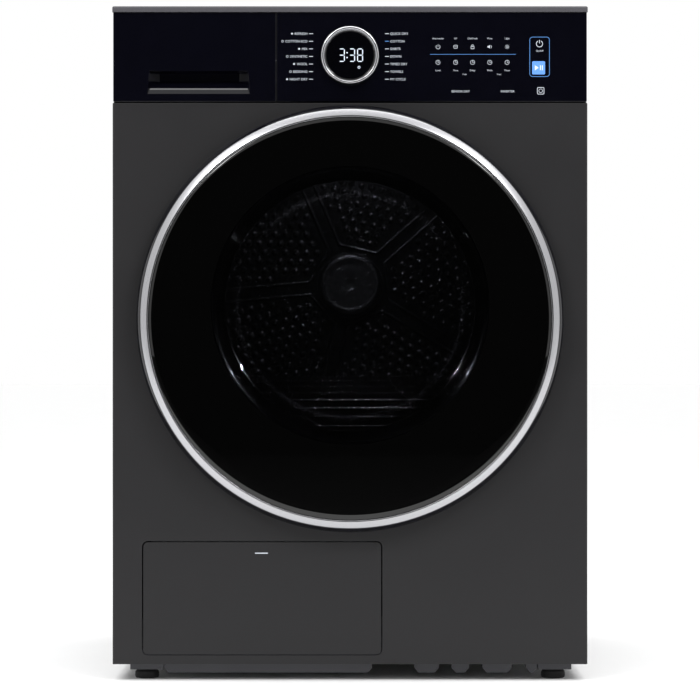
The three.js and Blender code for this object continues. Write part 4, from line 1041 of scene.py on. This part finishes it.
# %% Rim, ring and pane
pocket = [[200, 257.5], [-308, -283.5], [DOOR_Z - 45, DOOR_Z + 45]]
rim = turned("door_rim", [(248, -311), (260.8, -311, 1.2), (264.5, -306, 2.5), (266.5, -299, 1.5),
                          (266.5, -297, 1), (260.5, -288.5, 1), (248, -288.5)], z=DOOR_Z, steps=240)
combine(rim, "DIFFERENCE", block("rim_pocket", *pocket))
soften(rim, 0.3, 2, 50)
settle(rim, "door", "gloss_black_abs", gloss_black, "door_bezel")
trim = turned("door_ring", [(250.8, -311.4), (260.5, -311.4), (260.5, -313.2, 0.8), (252.6, -317.4, 0.9),
                            (250.8, -317.0, 0.3)], z=DOOR_Z, steps=288)
settle(trim, "door", "satin_silver_trim", trim_silver, "door_trim_ring")
pane = turned("door_pane", [(0, -311.4), (250.4, -311.4), (250.4, -316, 0.8), (246, -317.2, 3),
                            (232, -317.6), (0, -318)], z=DOOR_Z, steps=240)
settle(pane, "door", "door_glass_black", door_pane_glass, "door_glass")

# %% Inner frame and bowl
frame_outer = 247.4
inner = rod("door_frame", frame_outer, [-309, -288.5], z=DOOR_Z, sides=192)
combine(inner, "DIFFERENCE", rod("frame_hollow", frame_outer - 3, [-312, -291.5], z=DOOR_Z, sides=192))
combine(inner, "UNION", rod("frame_collar", 175, [-309, -289], z=OPENING_Z, sides=160),
        block("hinge_well", [197, 238], [-309, -289], [DOOR_Z - 48, DOOR_Z + 48]))
combine(inner, "DIFFERENCE", rod("bowl_hole", 172, [-315, -280], z=OPENING_Z, sides=160),
        block("well_hollow", *pocket))
soften(inner, 0.6, 3)
settle(inner, "door", "black_pp", black_satin, "door_inner_frame")
bowl = turned("door_inner_bowl", [(171.5, -309), (171.5, -290, 1), (168, -286, 3), (160, -268, 8),
                                  (140, -258, 10), (0, -254), (0, -257), (138, -261, 8), (157, -270.5, 6),
                                  (165, -287, 2), (165, -309)], z=OPENING_Z, steps=192)
settle(bowl, "door", "clear_bowl", clear_bowl, "door_bowl")

# %% Door seal, strike and hinge
seal = turned("door_gasket", [(194, -288.1), (203, -288.1, 0.6), (201.5, -284.4, 1.2), (199.5, -285.6, 0.8),
                              (196, -284.4, 1.2)], z=OPENING_Z, steps=192)
settle(seal, "door", "black_rubber", rubber, "door_seal")
for node, body, slot, finish, width in (
        ("door_strike", "door", "steel_parts", bright_steel, 0.5),
        ("door_hinge_leaf", "door", "steel_parts", bright_steel, 0.5),
        ("door_hinge_pin", "door", "steel_parts", bright_steel, 0.4),
        ("door_hinge_bracket", "cabinet", "steel_parts", bright_steel, 0.5),
        ("latch_housing", "cabinet", "grey_pp", grey_moulding, 1.0)):
    settle(solid_copy(node, node + "_finish", width, 3), body, slot, finish, node)

# %% [markdown]
# ## Drum
# The drum is stainless sheet. Its back is pressed into five sectors between plain channels, each sector
# edged by a bead and filled with small domes that stiffen it and stop wet laundry from clinging. A dished
# cap covers the bolts of the shaft, and three paddles lift the laundry.

# %% Drum wall
wall_beads = []
for start in (-120, -60, 0, 60, 120):
    wall_beads += [(268.8, start + 6, 2), (266.4, start + 3, 2), (266.4, start - 3, 2), (268.8, start - 6, 2)]
drum_profile = [(198.8, -203), (200, -203), (200, -196, 1), (258, -193, 4), (270, -181, 4), (270, 230),
                (268.8, 230)]
drum_profile += sorted(wall_beads, key=lambda bead: -bead[1])
drum_profile += [(268.8, -180, 3), (257, -191, 4), (198.8, -194, 1)]
wall = turned("drum_wall", drum_profile, z=DRUM_Z, steps=192)
settle(wall, "drum", "drum_steel", drum_steel, "drum_shell")

# %% Drum back with its five pressed sectors
BACK_Y = 224
SECTORS = 5
SECTOR_INNER, SECTOR_OUTER = 50, 240  # distances of a sector's ends from the drum's axis
CHANNEL = 6.4  # half the width of a channel
BEAD = 5
DOME_R, DOME_PITCH = 5.2, 15
FIRST_ROW, ROW_SPACING = 64, 0.87  # the rows of domes are staggered, so they stand closer than the pitch
back = turned("drum_back_sheet", [(0, 232), (40, 232, 2), (45.5, BACK_Y, 2), (268.4, BACK_Y), (268.4, 225.6),
                                  (46.5, 225.6, 2), (41, 233.6, 2), (0, 233.6)], z=DRUM_Z, steps=160)


def sector_outline(inset):
    """Outline of one sector, symmetric about +X at the drum's axis, moved inwards by an inset."""
    half = math.radians(180 / SECTORS)
    inner, outer = SECTOR_INNER + inset, SECTOR_OUTER - inset
    offset = CHANNEL + inset
    low = math.atan2(inner * math.tan(half) - offset / math.cos(half), inner)
    high = half - math.asin(offset / outer)
    points = [(inner, -inner * math.tan(low)), *[
        (outer * math.cos(high * (k / 12 - 1)), outer * math.sin(high * (k / 12 - 1))) for k in range(25)],
        (inner, inner * math.tan(low))]
    return [(a, DRUM_Z + b) for a, b in points]


bead = plate("sector_bead", sector_outline(0), [BACK_Y - 3.8, BACK_Y + 0.6])
combine(bead, "DIFFERENCE", plate("bead_gap", sector_outline(BEAD), [BACK_Y - 9, BACK_Y + 9]))
soften(bead, 2.4, 6, 40)
dome = turned("dome", [(0, BACK_Y + 0.5), (DOME_R, BACK_Y + 0.3), (DOME_R * 0.9, BACK_Y - 1.2),
                       (DOME_R * 0.7, BACK_Y - 2.2), (DOME_R * 0.37, BACK_Y - 2.9), (0, BACK_Y - 3.1)],
              z=DRUM_Z, steps=10)
domes = []
half = math.radians(180 / SECTORS)
for row in range(14):
    across = FIRST_ROW + DOME_PITCH * ROW_SPACING * row
    for column in range(-12, 13):
        along = DOME_PITCH * (column + 0.5 * (row % 2))
        from_axis = math.hypot(across, along)
        clear_of_bead = across * math.sin(half) - abs(along) * math.cos(half) > CHANNEL + BEAD + DOME_R + 0.8
        if clear_of_bead and from_axis < SECTOR_OUTER - BEAD - DOME_R - 2:
            domes.append(copied(dome, shift(across, 0, along)))
bpy.data.objects.remove(dome)
print("domes in a sector:", len(domes))
sector = joined("sector", [bead, *domes])
FIRST_SECTOR = -5.3
copies = [copied(sector, turn_about(FIRST_SECTOR + 360 / SECTORS * k, "Y", z=DRUM_Z)) for k in range(SECTORS)]
bpy.data.objects.remove(sector)
back = joined("drum_back_sheet", [back, *copies])
settle(back, "drum", "drum_steel", drum_steel, "drum_back")

# %% Hub cap, shaft and paddles
cap = turned("hub_cap", [(0, 210), (7, 210.2), (8, 209.6, 0.4), (24, 208.8), (33, 208.8, 3), (37, 207.4, 2),
                         (42, 208.2, 3), (45.4, 213, 2), (46.5, 223.6), (0, 223.6)], z=DRUM_Z, steps=96)
settle(cap, "drum", "drum_steel", cap_steel, "drum_hub_cap")
settle(solid_copy("drum_shaft", "drum_axle", 1), "drum", "steel_parts", bright_steel, "drum_shaft")
for i in (1, 2, 3):
    paddle = solid_copy(f"lifter_{i}", f"drum_paddle_{i}", 5, 5)
    settle(paddle, "drum", "grey_pp", grey_moulding, f"lifter_{i}")

# %% [markdown]
# ## Front bulkhead, felt and lint filter
# A black moulding joins the front sheet to the drum. It narrows in steps to the mouth, whose flat sill
# covers the lint filter, and each step's edge catches a line of light. A felt ring on its back lets the
# drum slide on it.

# %% Bulkhead
FLANGE_Y = -282.6
STEP_Y, PLATE_Y = -232, -206
MOUTH_Z, MOUTH_R, SILL_Z = 485, 165, 381
TUNNEL_R = 187


def mouth(grow):
    """The mouth's outline: a circle cut off by the sill, grown outwards."""
    radius = MOUTH_R + grow
    start = math.asin((SILL_Z - grow - MOUTH_Z) / radius)
    points = []
    for k in range(97):
        angle = start + (math.pi - 2 * start) * k / 96
        points.append((radius * math.cos(angle), MOUTH_Z + radius * math.sin(angle)))
    return points


bulkhead = plate("front_bulkhead_moulding", round_corners([-288, 288], [228, 720], 10),
                 [FLANGE_Y, FLANGE_Y + 3])
combine(bulkhead, "UNION", rod("tunnel", TUNNEL_R, [FLANGE_Y, STEP_Y + 3], z=OPENING_Z),
        rod("rear_plate", 197.6, [PLATE_Y - 3, PLATE_Y], z=DRUM_Z),
        rod("felt_seat", 190, [PLATE_Y - 1, PLATE_Y + 8], z=DRUM_Z))
combine(bulkhead, "DIFFERENCE", rod("tunnel_bore", TUNNEL_R - 3, [FLANGE_Y - 5, STEP_Y], z=OPENING_Z),
        rod("seat_bore", 187, [PLATE_Y, PLATE_Y + 20], z=DRUM_Z),
        block("latch_window", [-238, -190], [FLANGE_Y - 1, FLANGE_Y + 4], [DOOR_Z - 32, DOOR_Z + 32]))
combine(bulkhead, "UNION", plate("neck", mouth(3), [STEP_Y, PLATE_Y]),
        block("filter_duct", [-115, 115], [STEP_Y, PLATE_Y], [200, SILL_Z - 1]))
combine(bulkhead, "DIFFERENCE", plate("mouth_bore", mouth(0), [STEP_Y - 1, PLATE_Y + 1]),
        block("filter_slot", [-111, 111], [-228, -210], [205.6, SILL_Z + 10]),
        block("air_hole", [-95, 95], [-224, -214], [190, 215]))
soften(bulkhead, 0.9, 3)
settle(bulkhead, "cabinet", "black_pp", black_satin, "front_bulkhead")

# %% Steps round the mouth
STEP_GROWTH = [5, 12, 20, 29, 39, 50, 62]
STEP_W = 3
STEP_LIMIT = TUNNEL_R - 2.6


def reach(angle, grow):
    """How far the grown mouth's outline is from the tunnel's axis in one direction."""
    rise = (MOUTH_Z - OPENING_Z) * math.sin(angle)
    radius = MOUTH_R + grow
    circle = rise + math.sqrt(rise ** 2 - (MOUTH_Z - OPENING_Z) ** 2 + radius ** 2)
    sill = (OPENING_Z - SILL_Z + grow) / -math.sin(angle) if math.sin(angle) < -0.01 else circle
    return min(circle, sill)


def step_outline(grow):
    """A narrow band along the grown mouth, as far as it stays inside the tunnel."""
    angles = [math.radians(90 + 1.5 * k) for k in range(241)]
    inside = [a for a in angles if reach(a, grow) < STEP_LIMIT - 0.6]
    outer = [(a, min(reach(a, grow + STEP_W), STEP_LIMIT)) for a in inside]
    inner = [(a, reach(a, grow)) for a in reversed(inside)]
    return [(r * math.cos(a), OPENING_Z + r * math.sin(a)) for a, r in outer + inner]


steps = []
for i, grow in enumerate(STEP_GROWTH):
    step = plate(f"step_{i}", step_outline(grow), [STEP_Y - 1.5 - 1.7 * i, STEP_Y + 0.5])
    steps.append(soften(step, 1.1, 4))
grille = [plate(f"grille_{i}", round_corners([a, a + 2.4], [323, 350], 1.1, 3), [STEP_Y - 13, STEP_Y + 0.5])
          for i, a in enumerate([*range(-96, 22, 6), *range(42, 104, 6)])]
settle(joined("mouth_steps", [*steps, *grille]), "cabinet", "black_pp", black_satin)

# %% Felt ring and lint filter
ring_of_felt = turned("felt_ring", [(190.4, -205.6), (197.6, -205.6, 1), (197.6, -197, 1.5),
                                    (190.4, -197, 1.5)], z=DRUM_Z, steps=160)
settle(ring_of_felt, "cabinet", "grey_felt", felt, "front_felt_seal")
case = block("filter_case", [-110, 110], [-227, -211], [206, 374])
combine(case, "UNION", block("filter_grip", [-80, 80], [-227, -211], [373, 378]))
combine(case, "DIFFERENCE", block("filter_hollow", [-107, 107], [-225, -213], [209, 383]))
windows = [block(f"window_{i}", [-103 + 35 * i, -73 + 35 * i], [-230, -208], [216, 362]) for i in range(6)]
combine(case, "DIFFERENCE", joined("window_punch", windows))
soften(case, 0.4, 2)
settle(case, "filter", "filter_mesh", tray_moulding, "lint_filter")
cloths = [block(f"cloth_{i}", [-106, 106], [y, y + 0.5], [212, 366]) for i, y in enumerate((-226.4, -212.1))]
settle(joined("filter_cloth", cloths), "filter", "filter_mesh", cloth)

# %% [markdown]
# ## Pieces behind the covers
# The rest is seen only when a door, drawer or flap is open or through the feet. Their solids are already
# exact, so a copy of each gets its flat faces merged, its edges rounded and its own finish.

# %% Tray, tank, exchanger cover and locks
for node, body, slot, finish, width in (
        ("base_tray", "cabinet", "black_pp", tray_moulding, 1.2),
        ("water_tank", "tank_drawer", "tank_clear", milky_tank, 1.0),
        ("tank_guide", "cabinet", "grey_pp", grey_moulding, 0.8),
        ("heat_exchanger_cover", "cabinet", "grey_pp", grey_moulding, 1.5),
        ("cover_lock_left", "lock_left", "black_pp", black_moulding, 0.8),
        ("cover_lock_right", "lock_right", "black_pp", black_moulding, 0.8),
        ("compressor", "cabinet", "steel_parts", black_satin, 2.5),
        ("condensate_pump", "cabinet", "grey_pp", grey_moulding, 1.0),
        ("motor", "cabinet", "steel_parts", bright_steel, 0.8),
        ("motor_pulley", "motor_rotor", "steel_parts", bright_steel, 0.4),
        ("fan_wheel", "motor_rotor", "black_pp", black_moulding, 0.4),
        ("fan_housing", "cabinet", "black_pp", black_moulding, 0.6),
        ("idler_arm", "tensioner", "steel_parts", bright_steel, 0.5),
        ("idler_pulley", "idler", "black_pp", black_moulding, 0.5),
        ("drum_roller_left", "roller_left", "black_rubber", rubber, 0.8),
        ("drum_roller_right", "roller_right", "black_rubber", rubber, 0.8),
        ("drum_belt", "cabinet", "black_rubber", rubber, 0.3),
        ("rear_air_duct", "cabinet", "galvanised_sheet", zinc, 0.3),
        ("bearing_bracket", "cabinet", "galvanised_sheet", zinc, 0.5),
        ("rear_bearing", "cabinet", "steel_parts", bright_steel, 0.5),
        ("control_board", "cabinet", "circuit_board", board, 0.3)):
    settle(solid_copy(node, node + "_finish", width), body, slot, finish, node)

# %% Heat exchangers keep their solids
for node in ("evaporator", "condenser"):
    block_of_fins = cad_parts[node]
    block_of_fins.data.materials.clear()
    block_of_fins.data.materials.append(fin_metal)
print("two finned blocks painted")

# %% [markdown]
# ## Finished size
# The overall size of the finished pieces is printed. Each solid that a finished piece stands for was
# hidden already, when that piece was settled.

# %% Print the finished size
low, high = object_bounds()
print("finished size", [round((b - a) / MM) for a, b in zip(low, high)], "mm")
